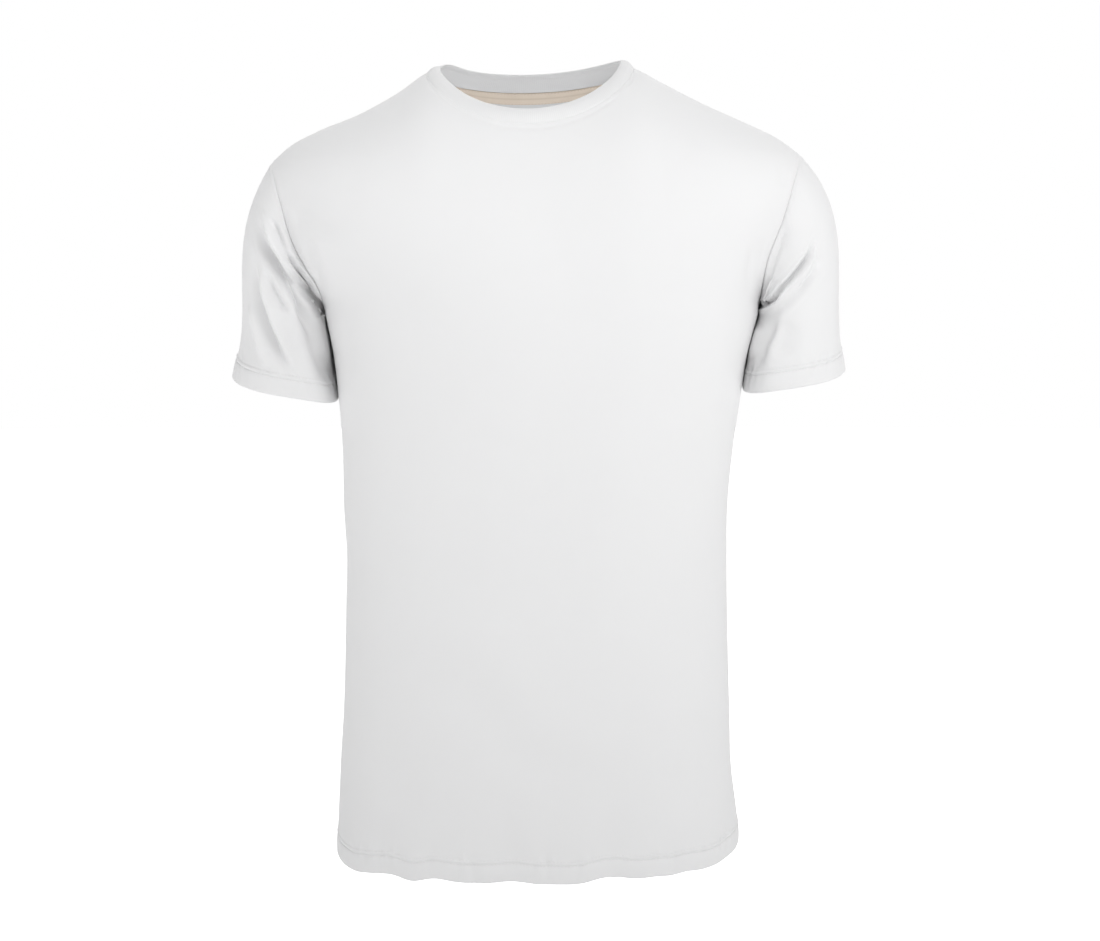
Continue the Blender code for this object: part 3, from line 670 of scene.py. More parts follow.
def hemShape(height, s):
    # outward moves near a hem, with small puckers along it
    look = hemLook
    move = look["lift"] * (1 - ease((height - look["stepAt"]) / look["stepOver"]))
    for at, out, width in zip(*look["moves"].values()):
        move = move + out * bump(height - at, width)
    swell = look["swellMiddle"] + noiseWave(s, *look["swellWaves"])
    above = height - look["puckerAt"]
    reach = bump(np.minimum(above, 0), look["puckerDown"])
    reach = reach * bump(np.maximum(above, 0), look["puckerUp"])
    return move + look["pucker"] * noiseWave(s, *look["puckerWaves"]) * swell * reach


def hemmed(grid, out, height, s):
    # the cloth's inner face, and how far its outer face moves
    look = hemLook
    single = ease((height - panel["hemWidth"] - look["wallStep"]) / look["wallOver"])
    thick = mixed(panel["hemWall"], panel["wall"], single)
    # the wall's two faces close in at the folded edge
    edge = np.clip(1 - height / look["edgeRound"], 0, 1)
    close = thick * look["edgeClose"] * (1 - np.sqrt(1 - edge**2))
    move = hemShape(height, s) * (height < look["top"]) - close
    return grid - out * (thick - close)[..., None], move


# objects


def addObject(name, points, polygons, material):
    mesh = bpy.data.meshes.new(name)
    mesh.from_pydata(points.tolist(), [], polygons)
    mesh.validate()
    mesh.shade_smooth()
    mesh.materials.append(material)
    made = bpy.data.objects.new(name, mesh)
    bpy.context.scene.collection.objects.link(made)
    return made


def clothObject(name, outer, inner, uv, material, closed=False):
    # a wall between two grids: both faces of the cloth, and the rims that join them
    rows, columns = outer.shape[:2]
    layer = rows * columns
    index = np.arange(layer).reshape(rows, columns)
    if closed:
        index = np.concatenate([index, index[:, :1]], axis=1)
    corners = [index[:-1, :-1], index[:-1, 1:], index[1:, 1:], index[1:, :-1]]
    corners = [corner.ravel() for corner in corners]
    quads = [np.stack(corners, 1), np.stack(corners[::-1], 1) + layer]
    rims = [(index[0], True), (index[-1], False)]
    if not closed:
        rims += [(index[:, 0], False), (index[:, -1], True)]
    for rim, turned in rims:
        quad = [rim[:-1], rim[1:], rim[1:] + layer, rim[:-1] + layer]
        quads.append(np.stack(quad[:1] + quad[:0:-1] if turned else quad, 1))
    points = np.concatenate([outer.reshape(-1, 3), inner.reshape(-1, 3)])
    made = addObject(name, points, np.concatenate(quads).tolist(), material)
    corner = np.empty(len(made.data.loops), int)
    made.data.loops.foreach_get("vertex_index", corner)
    flat = np.concatenate([uv.reshape(-1, 2)] * 2)
    made.data.uv_layers.new(name="weave").data.foreach_set("uv", flat[corner].ravel())
    made.data.set_sharp_from_angle(angle=math.radians(50))
    return made


def clothUv(grid, closed=False):
    # how far each point lies across and up the cloth, in metres
    across = lengths(grid, 1)
    middle = 0 if closed else grid.shape[1] // 2
    return np.stack([across - across[:, middle:middle + 1], lengths(grid)], axis=2)


stitch = {
    "length": 0.0022,
    "pitch": 0.0030,
    "radius": 0.00026,
    "sink": 0.00005,
    "sides": 5,
    # place in half lengths, lift and girth in radii
    "rings": table(
        "place  lift  girth",
        (-1.00, -0.90, 0.35),
        (-0.55, +0.25, 1.00),
        (+0.55, +0.25, 1.00),
        (+1.00, -0.90, 0.35),
    ),
    "probe": 0.0002,
}


def stitchRow(path, outward):
    # points of low-poly threads along a line on the cloth: stitch, ring, side
    run = lengths(path)
    count = int(run[-1] / stitch["pitch"])
    middles = (np.arange(count) + 0.5) * run[-1] / count
    turn = (np.arange(stitch["sides"]) * 2 * math.pi / stitch["sides"])[None, :, None]
    rings = []
    for place, lift, girth in zip(*stitch["rings"].values()):
        mark = middles + stitch["length"] / 2 * place
        out = unit(between(mark, run, outward))
        ahead = between(mark + stitch["probe"], run, path)
        beside = unit(np.cross(ahead - between(mark - stitch["probe"], run, path), out))
        at = between(mark, run, path) + out * (stitch["radius"] * lift - stitch["sink"])
        around = beside[:, None] * np.cos(turn) + out[:, None] * np.sin(turn)
        rings.append(at[:, None] + stitch["radius"] * girth * around)
    return np.stack(rings, axis=1)


def stitchObject(name, rows, material):
    points = np.concatenate([stitchRow(path, outward) for path, outward in rows])
    sides, size = stitch["sides"], points[0].size // 3
    single = [[k + side, k + sides + side, k + sides + (side + 1) % sides, k + (side + 1) % sides]
              for k in range(0, size - sides, sides) for side in range(sides)]
    single += [list(range(sides)), list(range(size - 1, size - sides - 1, -1))]
    polygons = [[start + corner for corner in polygon]
                for start in range(0, len(points) * size, size) for polygon in single]
    return addObject(name, points.reshape(-1, 3), polygons, material)


def lineAbove(grid, out, height):
    # the line at one height above a grid's first row, and the outward directions there
    run = lengths(grid)
    path, ways = (np.array([between(height, run[:, k], values[:, k]) for k in range(len(run[0]))])
                  for values in (grid, out))
    return path, unit(ways)


# materials


class Wire:
    # a node's output that sums can be written with
    def __init__(self, maker, socket):
        self.maker, self.socket = maker, socket

    def math(self, operation, *values):
        return self.maker.node("ShaderNodeMath", dict(enumerate(values)), operation=operation)

    def __add__(self, other):
        return self.math("ADD", self, other)

    def __sub__(self, other):
        return self.math("SUBTRACT", self, other)

    def __rsub__(self, other):
        return self.math("SUBTRACT", other, self)

    def __mul__(self, other):
        return self.math("MULTIPLY", self, other)

    def __truediv__(self, other):
        return self.math("DIVIDE", self, other)

    def __abs__(self):
        return self.math("ABSOLUTE", self)

    def wave(self):
        # the sine of this many whole turns
        return self.math("SINE", self * (2 * math.pi))

    def fraction(self):
        return self.math("FRACT", self)


class MaterialMaker:
    def __init__(self, name):
        self.material = bpy.data.materials.new(name)
        self.material.use_nodes = True
        self.nodes = self.material.node_tree.nodes
        self.links = self.material.node_tree.links
        self.shader = self.nodes["Principled BSDF"]

    def node(self, kind, inputs=None, output=0, **settings):
        made = self.nodes.new(kind)
        for key, value in settings.items():
            setattr(made, key, value)
        for key, value in (inputs or {}).items():
            self.give(made.inputs[key], value)
        return Wire(self, made.outputs[output])

    def give(self, socket, value):
        if isinstance(value, Wire):
            self.links.new(value.socket, socket)
        else:
            socket.default_value = value

    def set(self, **values):
        for key, value in values.items():
            self.give(self.shader.inputs[key.replace("_", " ")], value)

    def blend(self, factor, first, second):
        return self.node("ShaderNodeMix", {0: factor, 6: first, 7: second}, output=2,
                         data_type="RGBA", clamp_factor=True)

    def noise(self, scale, detail, vector, roughness=0.5):
        return self.node("ShaderNodeTexNoise", {"Vector": vector, "Scale": scale, "Detail": detail,
                                                "Roughness": roughness})

    def objectPlace(self):
        return self.node("ShaderNodeTexCoord", output=3)

    def weavePlace(self):
        uv = self.node("ShaderNodeUVMap", uv_map="weave")
        parts = self.node("ShaderNodeSeparateXYZ", {0: uv}).socket.node.outputs
        return Wire(self, parts[0]), Wire(self, parts[1])

    def bumped(self, height, size, normal=None):
        inputs = {"Height": height, "Distance": size["height"], "Strength": size["strength"]}
        if normal is not None:
            inputs["Normal"] = normal
        return self.node("ShaderNodeBump", inputs)


# noises are scales for Object coordinates in metres
cotton = {"Sheen_Roughness": 0.45, "Specular_IOR_Level": 0.25}
jersey = {
    "wale": 0.00085,  # width of one column of loops
    "course": 0.00062,  # height of one row of loops
    "light": (0.835, 0.835, 0.838, 1),
    "shade": (0.80, 0.80, 0.804, 1),
    "roughness": 0.88,
    "sheen": 0.12,
    "fuzz": 900.0,
    "soft": 38.0,
    "cloudy": 9.0,
    "knitBump": {"height": 0.00016, "strength": 0.55},
    "softBump": {"height": 0.0009, "strength": 0.35},
}


def jerseyMaterial(name):
    maker = MaterialMaker(name)
    across, up = maker.weavePlace()
    place = maker.objectPlace()
    wale = abs((across / jersey["wale"]).fraction() - 0.5) * 2  # 0 in the middle of a column
    loops = (up / jersey["course"] + wale * 0.5).wave()
    knit = (1 - wale * wale) * 0.6 + loops * 0.25 * (1 - wale * 0.6)
    fuzz = maker.noise(jersey["fuzz"], 2.0, place)
    soft = maker.noise(jersey["soft"], 3.0, place, 0.55)
    cloudy = maker.noise(jersey["cloudy"], 2.0, place)
    normal = maker.bumped(knit + fuzz * 0.35, jersey["knitBump"])
    # random cloudy tone and fuzz, with painted shade in the grooves between the columns of loops
    toneAndColumnShade = cloudy * 0.5 + fuzz * 0.2 + (1 - wale) * 0.3
    maker.set(Base_Color=maker.blend(toneAndColumnShade, jersey["shade"], jersey["light"]),
              Roughness=jersey["roughness"] - knit * 0.08,
              Normal=maker.bumped(soft, jersey["softBump"], normal),
              Sheen_Weight=jersey["sheen"], **cotton)
    return maker.material


rib = {
    "pitch": 0.0018,
    "height": 0.00010,
    "course": 0.0007,
    "light": (0.82, 0.82, 0.823, 1),
    # painted shade for the grooves between the ribs
    "grooveShade": (0.77, 0.77, 0.774, 1),
    "roughness": 0.9,
    "sheen": 0.1,
    "fuzz": 950.0,
    "cloudy": 14.0,
    "bump": {"height": 0.00018, "strength": 0.6},
}


def ribMaterial(name):
    maker = MaterialMaker(name)
    across, up = maker.weavePlace()
    place = maker.objectPlace()
    half = abs((across / rib["pitch"]).fraction() - 0.5) * 2
    loops = (up / rib["course"] + half).wave()
    fuzz = maker.noise(rib["fuzz"], 2.0, place)
    cloudy = maker.noise(rib["cloudy"], 2.0, place)
    ridge = 1 - half * half
    # the ribs are lighter and their grooves darker as painted shade, with random cloudy tone
    maker.set(Base_Color=maker.blend(ridge * 0.65 + cloudy * 0.35, rib["grooveShade"], rib["light"]),
              Roughness=rib["roughness"] - ridge * 0.08,
              Normal=maker.bumped(ridge * 0.4 + loops * 0.25 + fuzz * 0.4, rib["bump"]),
              Sheen_Weight=rib["sheen"], **cotton)
    return maker.material


tape = {
    "light": (0.93, 0.82, 0.70, 1),
    "dark": (0.78, 0.665, 0.55, 1),
    "middle": (0.70, 0.59, 0.47, 1),
    "width": 0.0150,
    "gap": 0.0005,
    "thick": 0.0008,
    "start": 0.0006,  # below the panel's edge
    "rows": 9,
    "panelRows": 40,  # rows of the panel that it is laid on
    "shortBy": 5,  # columns at each end
    "crown": 0.0002,
    "edgeThick": 0.75,  # of its thickness
    "stitchAt": 0.4,  # of a row, from the edge
    "twill": 0.0011,
    "thread": 0.00055,
    "lineAt": 0.48,
    "roughness": 0.8,
    "fuzz": 1100.0,
    "cloudy": 26.0,
    "bump": {"height": 0.00014, "strength": 0.7},
}


def tapeMaterial(name):
    maker = MaterialMaker(name)
    across, up = maker.weavePlace()
    place = maker.objectPlace()
    twill = ((across + up) / tape["twill"]).wave()
    threads = (across / tape["thread"]).wave()
    fuzz = maker.noise(tape["fuzz"], 2.0, place)
    cloudy = maker.noise(tape["cloudy"], 2.0, place)
    weave = twill * 0.35 + threads * 0.15 + fuzz * 0.4 + 0.4
    line = 1 - abs(up / tape["width"] - tape["lineAt"]) * 9
    colour = maker.blend(weave * 0.6 + cloudy * 0.4, tape["dark"], tape["light"])
    maker.set(Base_Color=maker.blend(line * 0.6, colour, tape["middle"]),
              Roughness=tape["roughness"] - weave * 0.08,
              Normal=maker.bumped(weave, tape["bump"]), Specular_IOR_Level=0.3)
    return maker.material


thread = {
    "twist": 700.0,
    "fuzz": 1500.0,
    "roughness": 0.62,
    "bump": {"height": 0.00006, "strength": 0.6},
}


def threadMaterial(name, light, dark):
    maker = MaterialMaker(name)
    place = maker.objectPlace()
    twist = maker.node("ShaderNodeTexWave",
                       {"Vector": place, "Scale": thread["twist"], "Distortion": 2.0},
                       output=1, wave_type="BANDS", bands_direction="DIAGONAL")
    fuzz = maker.noise(thread["fuzz"], 1.0, place)
    maker.set(Base_Color=maker.blend(twist * 0.6 + fuzz * 0.4, dark, light),
              Roughness=thread["roughness"] - fuzz * 0.1,
              Normal=maker.bumped(twist, thread["bump"]), Sheen_Weight=0.05)
    return maker.material


whiteJersey = jerseyMaterial("white_jersey")
whiteRib = ribMaterial("white_rib")
beigeTape = tapeMaterial("beige_tape")
whiteThread = threadMaterial("white_thread", (0.85, 0.85, 0.853, 1), (0.70, 0.70, 0.704, 1))
beigeThread = threadMaterial("beige_thread", (0.78, 0.68, 0.58, 1), (0.58, 0.48, 0.39, 1))
print("materials made")


# the front and the back

outer = {"front": faceGrid("front"), "back": faceGrid("back")}
for face, creases in (("front", frontCreases), ("back", backCreases)):
    keep = ease((1 - np.abs(lowAcross(face))) / 0.01)[None, :]  # none at the side seams
    outer[face] = creased(outer[face], creases, keep, sign=-faces[face]["sign"])


def faceNormals(face, grid):
    out = normals(grid) * -faces[face]["sign"]
    side = np.arange(len(grid))[:, None] <= chestRow
    out[:, [0, -1], 1] = np.where(side, 0.0, out[:, [0, -1], 1])
    count = panel["shoulderColumns"][face]
    top = list(range(count + 1)) + list(range(-count - 1, 0))
    out[-1, top, 1] = 0.0
    return unit(out)


outward = {face: faceNormals(face, grid) for face, grid in outer.items()}
inner = {}
for face, grid in outer.items():
    height, width = lengths(grid), lengths(grid, 1)
    s = width - width[:, -1:] / 2 + faces[face]["puckerShift"]
    inner[face], move = hemmed(grid, outward[face], height, s)
    ends = ease(np.minimum(width, width[:, -1:] - width) / hemLook["sideOver"])
    share = mixed(hemLook["sideShare"], 1.0, ends)
    move = move * np.where(height < hemLook["top"], share, 1.0)
    outer[face] = grid + outward[face] * move[..., None]
print("front and back shaped")

# the sleeves

sleeve = {
    "rows": 128,
    "stations": 121,  # rows of the even grid that they are laid on
    "hem": table(
        "side  outerX  outerZ  innerZ  middleY  halfDepth  droop",
        (-1, 0.2705, -0.2722, -0.2896, 0.0150, 0.0620, 0.0110),
        (+1, 0.2710, -0.2656, -0.2808, 0.0150, 0.0620, 0.0110),
    ),
    "hemSquare": 0.70,  # below 1, the hem's inner side lies flatter against the body
    "ways": table(
        "side  leaveUnderX  leaveUnderZ  leaveTopX  leaveTopZ  landTopX  landTopZ",
        (-1, 0.012, -0.060, 0.140, -0.215, 0.070, -0.200),
        (+1, 0.012, -0.060, 0.165, -0.165, 0.050, -0.200),
    ),
    "landUnder": (-0.004, -0.080),
    "wayPower": 0.8,
    "swell": 0.045,
    # gap to the body; each "over" here is a share of the way down
    "clear": 0.0005,
    "clearSoft": 0.0005,
    "clearOver": 0.25,
    "clearBehind": 4,  # times as much this far behind
    "behind": 0.02,
    "hug": 0.75,
    "hugOver": 0.35,
    "hugPower": 1.8,
    # the front slopes back towards the body: its depth there, and how far it rises over what width
    "slope": {
        -1: table(
            "height  depth  rise  width",
            (-0.310, 0.004, 0.043, 0.021),
            (-0.270, 0.007, 0.040, 0.023),
            (-0.245, 0.020, 0.026, 0.024),
            (-0.220, 0.020, 0.026, 0.020),
            (-0.190, 0.055, 0.010, 0.020),
        ),
        1: table(
            "height  depth  rise  width",
            (-0.310, 0.004, 0.044, 0.027),
            (-0.270, 0.005, 0.042, 0.025),
            (-0.245, 0.012, 0.034, 0.020),
            (-0.220, 0.018, 0.028, 0.016),
            (-0.190, 0.055, 0.010, 0.016),
        ),
    },
    "slopeSoft": 0.014,
    "slopeFrom": 0.03,
    "slopeOver": 0.25,
    "foldDepth": {-1: 2.75, 1: 1.7},
    "foldBehind": 0.55,  # of the folds' depth in front
    "foldOver": 0.04,
    "pitOver": 0.08,
    "puckerShift": 0.9,
}


def rowFor(rows, side):
    number = list(rows["side"]).index(side)
    return {name: float(column[number]) for name, column in rows.items()}


def roundShare(*edges):
    runs = [lengths(edge) for edge in edges]
    return ringAngles(*(run / run[-1] * math.pi for run in runs))


def sleeveWays(side, angle):
    row = rowFor(sleeve["ways"], side)
    top = (1 - np.cos(angle)) / 2
    late = top ** sleeve["wayPower"]
    landX, landZ = sleeve["landUnder"]
    leaves = [side * mixed(row["leaveUnderX"], row["leaveTopX"], top),
              -sleeve["swell"] * np.sin(angle),
              mixed(row["leaveUnderZ"], row["leaveTopZ"], late)]
    lands = [side * mixed(landX, row["landTopX"], top), np.zeros_like(angle),
             mixed(landZ, row["landTopZ"], late)]
    return np.stack(leaves, axis=1), np.stack(lands, axis=1)


def sleeveHemRing(side, angle):
    hem = rowFor(sleeve["hem"], side)
    power = mixed(sleeve["hemSquare"], 1.0, (1 - np.cos(angle)) / 2)
    squared = [np.sign(wave) * np.abs(wave) ** power for wave in (np.cos(angle), np.sin(angle))]
    out = (1 - squared[0]) / 2
    y = hem["middleY"] - hem["halfDepth"] * squared[1]
    z = mixed(hem["innerZ"], hem["outerZ"], out) - hem["droop"] * np.maximum(np.sin(angle), 0)
    x = mixed(bodyX(side, y, z) + sleeve["clear"], hem["outerX"], out)
    return np.stack([side * x, y, z], axis=1)


def softMost(past, soft):
    # the larger of this and 0, rounded over at 0
    return (past + np.sqrt(past**2 + soft**2)) / 2


def besideBody(side, grid, down, hug):
    for row, share in zip(grid[1:], down[1:]):
        begun = ease(share / sleeve["clearOver"])
        behind = mixed(1, sleeve["clearBehind"], ease(row[:, 1] / sleeve["behind"]))
        least = bodyX(side, row[:, 1], row[:, 2]) + sleeve["clear"] * behind * begun
        past = (side * row[:, 0] - least) * (1 - hug * ease(share / sleeve["hugOver"]))
        row[:, 0] = side * (least + softMost(past, sleeve["clearSoft"] * begun))
    return grid


def slopedFront(side, grid, down):
    slope = sleeve["slope"][side]
    for row, share in zip(grid, down):
        away = side * row[:, 0] - bodyX(side, 0 * row[:, 1], row[:, 2])
        depth, rise, width = (curve(row[:, 2], slope["height"], slope[name])
                              for name in ("depth", "rise", "width"))
        over = -row[:, 1] - depth - rise * np.maximum(away, 0) / width
        begun = ease((share - sleeve["slopeFrom"]) / sleeve["slopeOver"])
        row[:, 1] += softMost(over, sleeve["slopeSoft"]) * begun
    return grid


def sleeveGrid(side, ring, angle):
    hem = sleeveHemRing(side, angle)
    leaves, lands = sleeveWays(side, angle)
    down = np.linspace(0, 1, sleeve["stations"])
    s = down[:, None, None]
    grid = (
        ring * (1 + 2 * s) * (1 - s) ** 2
        + leaves * s * (1 - s) ** 2
        + hem * s**2 * (3 - 2 * s)
        - lands * s**2 * (1 - s)
    )
    hug = sleeve["hug"] * ((1 + np.cos(angle)) / 2) ** sleeve["hugPower"]
    grid = besideBody(side, slopedFront(side, grid, down), down, hug)
    steps, hemRows = np.array(panel["edgeSteps"]), np.array(panel["hemRows"])
    lines, shares = [], []
    for k in range(grid.shape[1]):
        run = lengths(grid[:, k])
        total = run[-1]
        middle = np.linspace(steps[-1], total - hemRows[-1], sleeve["rows"] + 1)[1:-1]
        marks = np.concatenate([steps, middle, total - hemRows[::-1]])
        lines.append(along(grid[:, k], marks))
        shares.append(np.interp(marks, run, down))
    return np.stack(lines, axis=1), np.stack(shares, axis=1)


def sleeveFolds(side, grid, angle, share):
    front = ease(np.sin(angle) * 2 + 0.5)
    keep = ease(share / sleeve["foldOver"]) * mixed(sleeve["foldBehind"], 1.0, front)
    keep = keep * sleeve["foldDepth"][side]
    grid = creased(grid, sleeveCreases[side], keep, sign=-side, closed=True)
    sunk = creaseDepth(grid, sleevePits[side])
    grid[..., 1] += sunk * ease(share / sleeve["pitOver"]) * front
    return besideBody(side, grid, share.mean(1), 0.0)


sleeveGrids = {}
for side, column in ((-1, 0), (1, -1)):
    place = {face: (slice(chestRow, None), column) for face in faces}
    edges, edgeNormals = panelEdges(place)
    ring, angle = ringOf(*edges), roundShare(*edges)
    seam = Seam(ring, edgeNormals, unit(sleeveWays(side, angle)[0]))
    # twice as many columns in front
    half = len(ring) // 2
    marks = np.concatenate([np.arange(0, half, 0.5), np.arange(half, len(ring))])
    start, liningStart = (resampled(line, marks)
                          for line in (seam.outer(1), seam.inner(1, panel["wall"])))
    angle = np.interp(marks, np.arange(len(ring) + 1), np.append(angle, 2 * math.pi))
    grid, share = sleeveGrid(side, start, angle)
    grid = sleeveFolds(side, grid, angle, share)
    grid[0] = start
    out = normals(grid, closed=True) * -side
    run, girth = lengths(grid), lengths(grid, 1)
    lining, move = hemmed(grid, out, run[-1:] - run, girth + sleeve["puckerShift"] * side)
    lining[0] = liningStart
    outside = grid + out * (move - seamDip(run))[..., None]
    # the moves keep clear of the body as well
    outside = besideBody(side, outside, share.mean(1), 0.0)
    sleeveGrids[side] = {"outer": outside, "inner": lining, "out": out}
    setEdges(seam, place, len(edges[0]) - 1)
print("sleeves shaped")

# the neckband

band = {
    "halfWidth": 0.0790, "sideZ": 0.0035, "tilt": 0.03, "bulge": 0.0019, "thick": 0.0022,
    "front": {"y": -0.0690, "drop": 0.0472, "power": 1.2},
    "back": {"y": 0.0570, "drop": 0.0073, "power": 2.2},
    # waves of its top edge near its right end, and at its left end
    "rightWaves": table("turn  drop  width", (0.02, 0.0035, 0.3), (-0.46, -0.0024, 0.28)),
    "leftDrop": 0.0020,
    "leftWidth": 0.3,
    "section": table(
        "up    out",
        (0.00, 0.30), (0.02, 0.40), (0.05, 0.47), (0.10, 0.50), (0.20, 0.50), (0.30, 0.50),
        (0.40, 0.50), (0.50, 0.50), (0.60, 0.50), (0.66, 0.50), (0.69, 0.50), (0.72, 0.50),
        (0.75, 0.50), (0.78, 0.49), (0.83, 0.48), (0.88, 0.46),
        (0.93, 0.41), (0.965, 0.33), (0.985, 0.24), (0.997, 0.12),
    ),
    "fine": 4,  # columns of the band for each one of the panels
    # where the section sets in and its ribs begin and end, as shares of its height
    "seamOver": 0.05,
    "ribFrom": 0.06,
    "ribTo": 0.1,
    "seamSink": 0.0004,
    "press": 0.0005,  # a faint groove inside
    "pressAt": 0.72,
    "pressWidth": 0.05,
}


def neckColumns(face):
    count = panel["shoulderColumns"][face]
    return slice(count, count + panel["neckColumns"][face] + 1)


def bandTopRing(angle):
    turn = (angle + math.pi) % (2 * math.pi) - math.pi  # 0 at the right end
    drop = band["leftDrop"] * bump(angle - math.pi, band["leftWidth"])
    for at, depth, width in zip(*band["rightWaves"].values()):
        drop = drop + depth * bump(turn - at, width)
    y = 0
    for part, sine in ((band["front"], np.sin(angle)), (band["back"], -np.sin(angle))):
        sine = np.maximum(sine, 0)
        y = y + part["y"] * sine
        drop = drop + part["drop"] * sine ** part["power"]
    x = band["halfWidth"] * -np.cos(angle)
    return np.stack([neck["x"] + x, y, band["sideZ"] + band["tilt"] * x - drop], axis=1)


place = {face: (-1, neckColumns(face)) for face in faces}
edges, edgeNormals = panelEdges(place)
seamRing = ringOf(*edges)
# each point's angle round the neck, from its place across it
shares = (np.clip((edge[:, 0] - neck["x"]) / neck["half"], -1, 1) for edge in edges)
top = bandTopRing(ringAngles(*(np.arccos(-share) for share in shares)))
seam = Seam(seamRing, edgeNormals, unit(top - seamRing))
setEdges(seam, place, panel["neckColumns"]["front"])

start, outs, lining = seam.outer(1), seam.out, seam.inner(1, band["thick"])
marks = np.arange(len(start) * band["fine"]) / band["fine"]
start, top, outs, lining = (resampled(ring, marks) for ring in (start, top, outs, lining))
outs = unit(outs)
run = unit(np.roll(start, -1, 0) - np.roll(start, 1, 0))
facing = unit(np.cross(run, top - start))
facing[(facing * outs).sum(1) < 0] *= -1
girth = lengths(np.concatenate([start, start[:1]]))
ribPhase = girth[:-1] / girth[-1] * round(girth[-1] / rib["pitch"])
ribs = np.cos(2 * math.pi * ribPhase)[:, None] * rib["height"]
bandOuter, bandInner = [], []
for up, out in zip(*band["section"].values()):
    middle = mixed(start, top, up) - facing * band["thick"] / 2
    middle = middle + facing * band["bulge"] * math.sin(up * math.pi)
    half = band["thick"] * out
    raised = ribs * ease(up / band["ribFrom"]) * ease((1 - up) / band["ribTo"])
    press = band["press"] * bump(up - band["pressAt"], band["pressWidth"])
    begun = ease(up / band["seamOver"])
    sunk = start - outs * band["seamSink"]
    bandOuter.append(mixed(sunk, middle + facing * (half + raised), begun))
    bandInner.append(mixed(lining, middle - facing * (half - press + raised), begun))
bandOuter, bandInner = np.array(bandOuter), np.array(bandInner)
ribAcross = np.broadcast_to(ribPhase * rib["pitch"], bandOuter.shape[:2])
neckband = clothObject("neckband_rib", bandOuter, bandInner,
                       np.stack([ribAcross, lengths(bandOuter)], axis=2), whiteRib, closed=True)
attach(neckband, "root")
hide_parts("neckband")
print("neckband made")

# the panels turn in at their seams, then become objects

trough = {"depth": 0.0007, "below": 0.0048, "width": 0.0026, "ends": 0.4}  # under the neckband

panels = {}
for face in faces:
    grid = outer[face]
    side, fromTop = lengths(grid, 1), lengths(grid[::-1])[::-1]
    side = np.minimum(side, side[:, -1:] - side)
    dip = np.minimum(seamDip(side) + seamDip(fromTop), seamLook["most"])
    columns = neckColumns(face)
    middle = np.sin(np.linspace(0, math.pi, columns.stop - columns.start))
    sunk = bump(fromTop[:, columns] - trough["below"], trough["width"])
    dip[:, columns] += trough["depth"] * sunk * ease(middle / trough["ends"])
    outer[face] = grid - outward[face] * dip[..., None]
    way = slice(None, None, -faces[face]["sign"])
    panels[face] = clothObject(face + "_cloth", outer[face][:, way], inner[face][:, way],
                               clothUv(outer[face])[:, way], whiteJersey)
    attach(panels[face], "root")
    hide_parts(face + "_panel")
for side, name in ((-1, "right_sleeve"), (1, "left_sleeve")):
    way = slice(None, None, -side)
    made = sleeveGrids[side]
    panels[name] = clothObject(name + "_cloth", made["outer"][:, way], made["inner"][:, way],
                               clothUv(made["outer"], closed=True)[:, way], whiteJersey,
                               closed=True)
    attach(panels[name], "root")
    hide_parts(name)
print("cloth made")

# the tape over the back neck seam

columns = neckColumns("back")
backInner, backOut = (grids["back"][::-1, columns][:tape["panelRows"]]
                      for grids in (inner, outward))
marks = np.linspace(tape["start"], tape["width"], tape["rows"])
run = lengths(backInner)
middle = range(tape["shortBy"], len(run[0]) - tape["shortBy"])
strip = np.stack([along(backInner[:, k], marks) for k in middle], axis=1)[::-1]
ways = unit(np.stack([between(marks, run[:, k], backOut[:, k]) for k in middle], axis=1))[::-1]
crown = np.sin(np.linspace(0, math.pi, tape["rows"]))[:, None, None] * tape["crown"]
tapeBack = strip - ways * tape["gap"]
tapeFace = tapeBack - ways * (tape["thick"] * tape["edgeThick"] + crown)
neckTape = clothObject("beige_neck_tape", tapeBack[:, ::-1], tapeFace[:, ::-1],
                       clothUv(tapeFace)[:, ::-1], beigeTape)
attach(neckTape, "root")
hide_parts("back_neck_tape")
tapeRows = [(mixed(tapeFace[k], tapeFace[k + 1], tape["stitchAt"]), -ways[k])
            for k in (0, tape["rows"] - 2)]
tapeStitches = stitchObject("neck_tape_stitches", tapeRows, beigeThread)
print("tape made")

# rows of stitches round the hems

bodyRows = []
for height in hemLook["twinRows"]:
    front, back = (lineAbove(outer[face], outward[face], height) for face in faces)
    bodyRows.append([np.concatenate([line, behind[::-1], line[:1]])
                     for line, behind in zip(front, back)])
hemStitches = stitchObject("body_hem_stitches", bodyRows, whiteThread)
sleeveStitches = {}
for side, name in ((-1, "right"), (1, "left")):
    made = sleeveGrids[side]
    rows = [[np.concatenate([line, line[:1]])
             for line in lineAbove(made["outer"][::-1], made["out"][::-1], height)]
            for height in hemLook["twinRows"]]
    sleeveStitches[name] = stitchObject(name + "_sleeve_hem_stitches", rows, whiteThread)
for piece in (hemStitches, *sleeveStitches.values(), tapeStitches):
    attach(piece, "root")
print("stitches made")

# what each piece of cloth was cut to


for made in (*panels.values(), neckband, neckTape):
    polygons = made.data.polygons
    print(made.name, round(sum(polygon.area for polygon in polygons), 4), "m2 on both sides,",
          2 * len(polygons), "triangles")

# floor, lights and camera

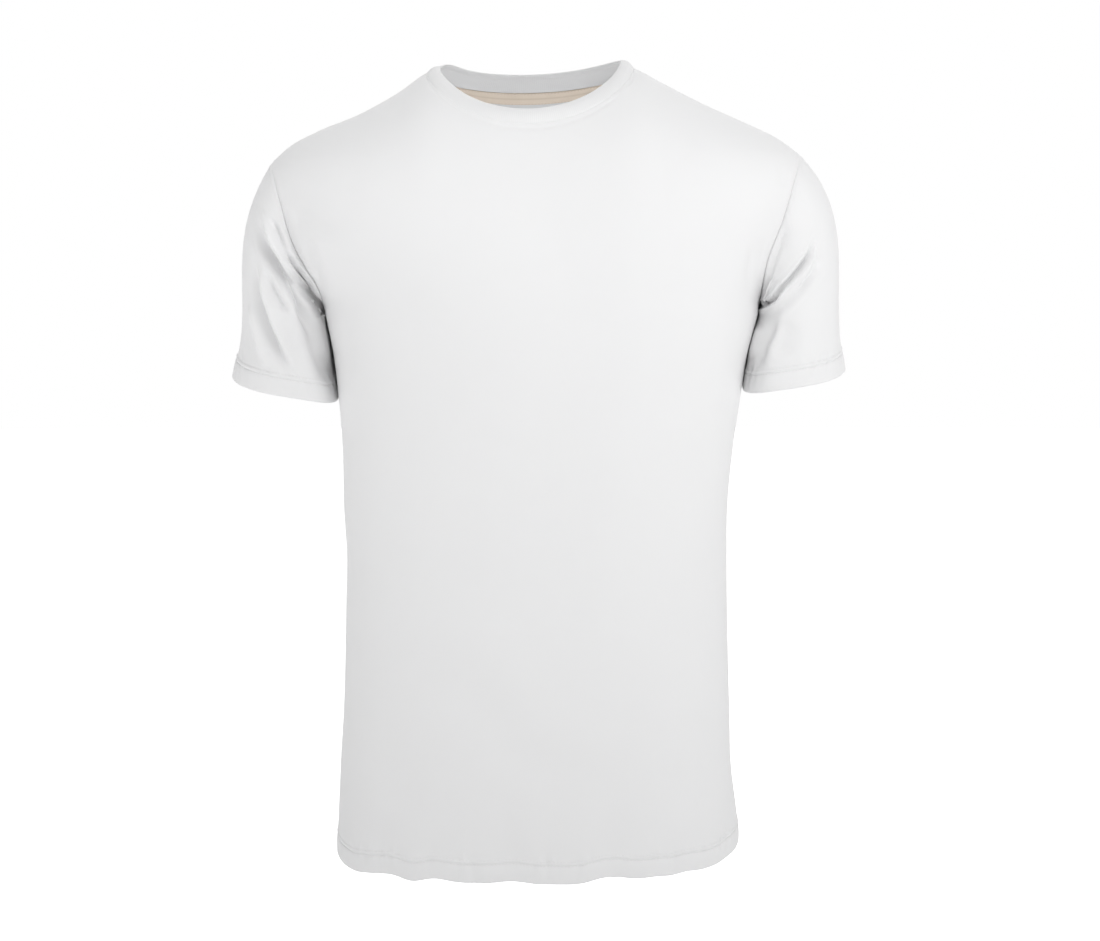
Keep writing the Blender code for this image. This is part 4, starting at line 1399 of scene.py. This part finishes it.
studio = {
    "floorZ": -1.05,
    "floorRadius": 20,
    "floor": (0.90, 0.90, 0.90, 1),
    "floorShade": (0.88, 0.88, 0.88, 1),
    "glowFrom": 0.45,  # the floor gets lighter between these distances from the middle
    "glowTo": 1.65,
    "glow": 0.92,
    "sky": 0.44,
    # inside_light stands for what the thin white cloth lets through
    "lights": {
        "key_light": {"at": (0.9, -2.0, 1.4), "size": 1.0, "power": 4},
        "neck_light": {"at": (0.5, -1.1, 0.3), "to": (0, 0, -0.02), "size": 0.4, "power": 2.0},
        "right_light": {"at": (-2.3, -0.7, 0.3), "size": 1.4, "power": 3.4},
        "left_light": {"at": (2.3, -0.7, 0.3), "size": 1.4, "power": 3.8},
        "top_light": {"at": (0.2, -0.7, 1.8), "size": 1.4, "power": 14},
        "back_light": {"at": (0, 1.9, 1.4), "size": 1.4, "power": 16},
        "inside_light": {"at": (-0.007, -0.03, -0.34), "to": (-0.007, 0.06, 0), "size": 0.1,
                         "power": 0.24},
    },
    "lightTo": (0, 0, -0.3),
    "camera": {"at": (0.0, -2.4, -0.23), "to": (0.0101, 0, -0.356)},
    "sensor": 36,
    "viewWidth": 0.968,  # that the camera takes in at the shirt
    "viewDistance": 2.4,
}
bpy.ops.object.select_all(action="DESELECT")
bpy.ops.mesh.primitive_circle_add(vertices=96, radius=studio["floorRadius"], fill_type="NGON",
                                  location=(0, 0, studio["floorZ"]))
floor = bpy.context.object
floor.name = "studio_floor"
maker = MaterialMaker("pale_floor")
place = maker.objectPlace()
distance = maker.node("ShaderNodeVectorMath", {0: place}, output=1, operation="LENGTH")
glow = maker.node("ShaderNodeMapRange", {0: distance, 1: studio["glowFrom"], 2: studio["glowTo"]},
                  interpolation_type="SMOOTHSTEP")
mottle = maker.noise(3.0, 2.0, place)
maker.set(Base_Color=maker.blend(mottle, studio["floorShade"], studio["floor"]),
          Roughness=0.9, Emission_Strength=studio["glow"],
          Emission_Color=maker.blend(glow, (0, 0, 0, 1), (1, 1, 1, 1)))
floor.data.materials.append(maker.material)

# the air behind is plain white, and lights the shirt less than it shows
world = bpy.data.worlds.new("studio_world")
world.use_nodes = True
nodes, links = world.node_tree.nodes, world.node_tree.links
background = nodes["Background"]
background.inputs[0].default_value = (1, 1, 1, 1)
level = nodes.new("ShaderNodeMapRange")
level.inputs["To Min"].default_value = studio["sky"]
level.inputs["To Max"].default_value = 1.0
links.new(nodes.new("ShaderNodeLightPath").outputs["Is Camera Ray"], level.inputs["Value"])
links.new(level.outputs[0], background.inputs[1])
bpy.context.scene.world = world


def aimed(name, data, at, to):
    made = bpy.data.objects.new(name, data)
    made.location = at
    made.rotation_euler = (Vector(to) - made.location).to_track_quat("-Z", "Y").to_euler()
    bpy.context.scene.collection.objects.link(made)
    return made


for name, look in studio["lights"].items():
    light = bpy.data.lights.new(name, "AREA")
    light.size, light.energy = look["size"], look["power"]
    aimed(name, light, look["at"], look.get("to", studio["lightTo"])).visible_camera = False

view = bpy.data.cameras.new("camera")
view.sensor_width = studio["sensor"]
view.lens = studio["sensor"] * studio["viewDistance"] / studio["viewWidth"]
bpy.context.scene.camera = aimed("camera", view, **studio["camera"])
bpy.context.scene.view_settings.view_transform = "Standard"
print("stage set")
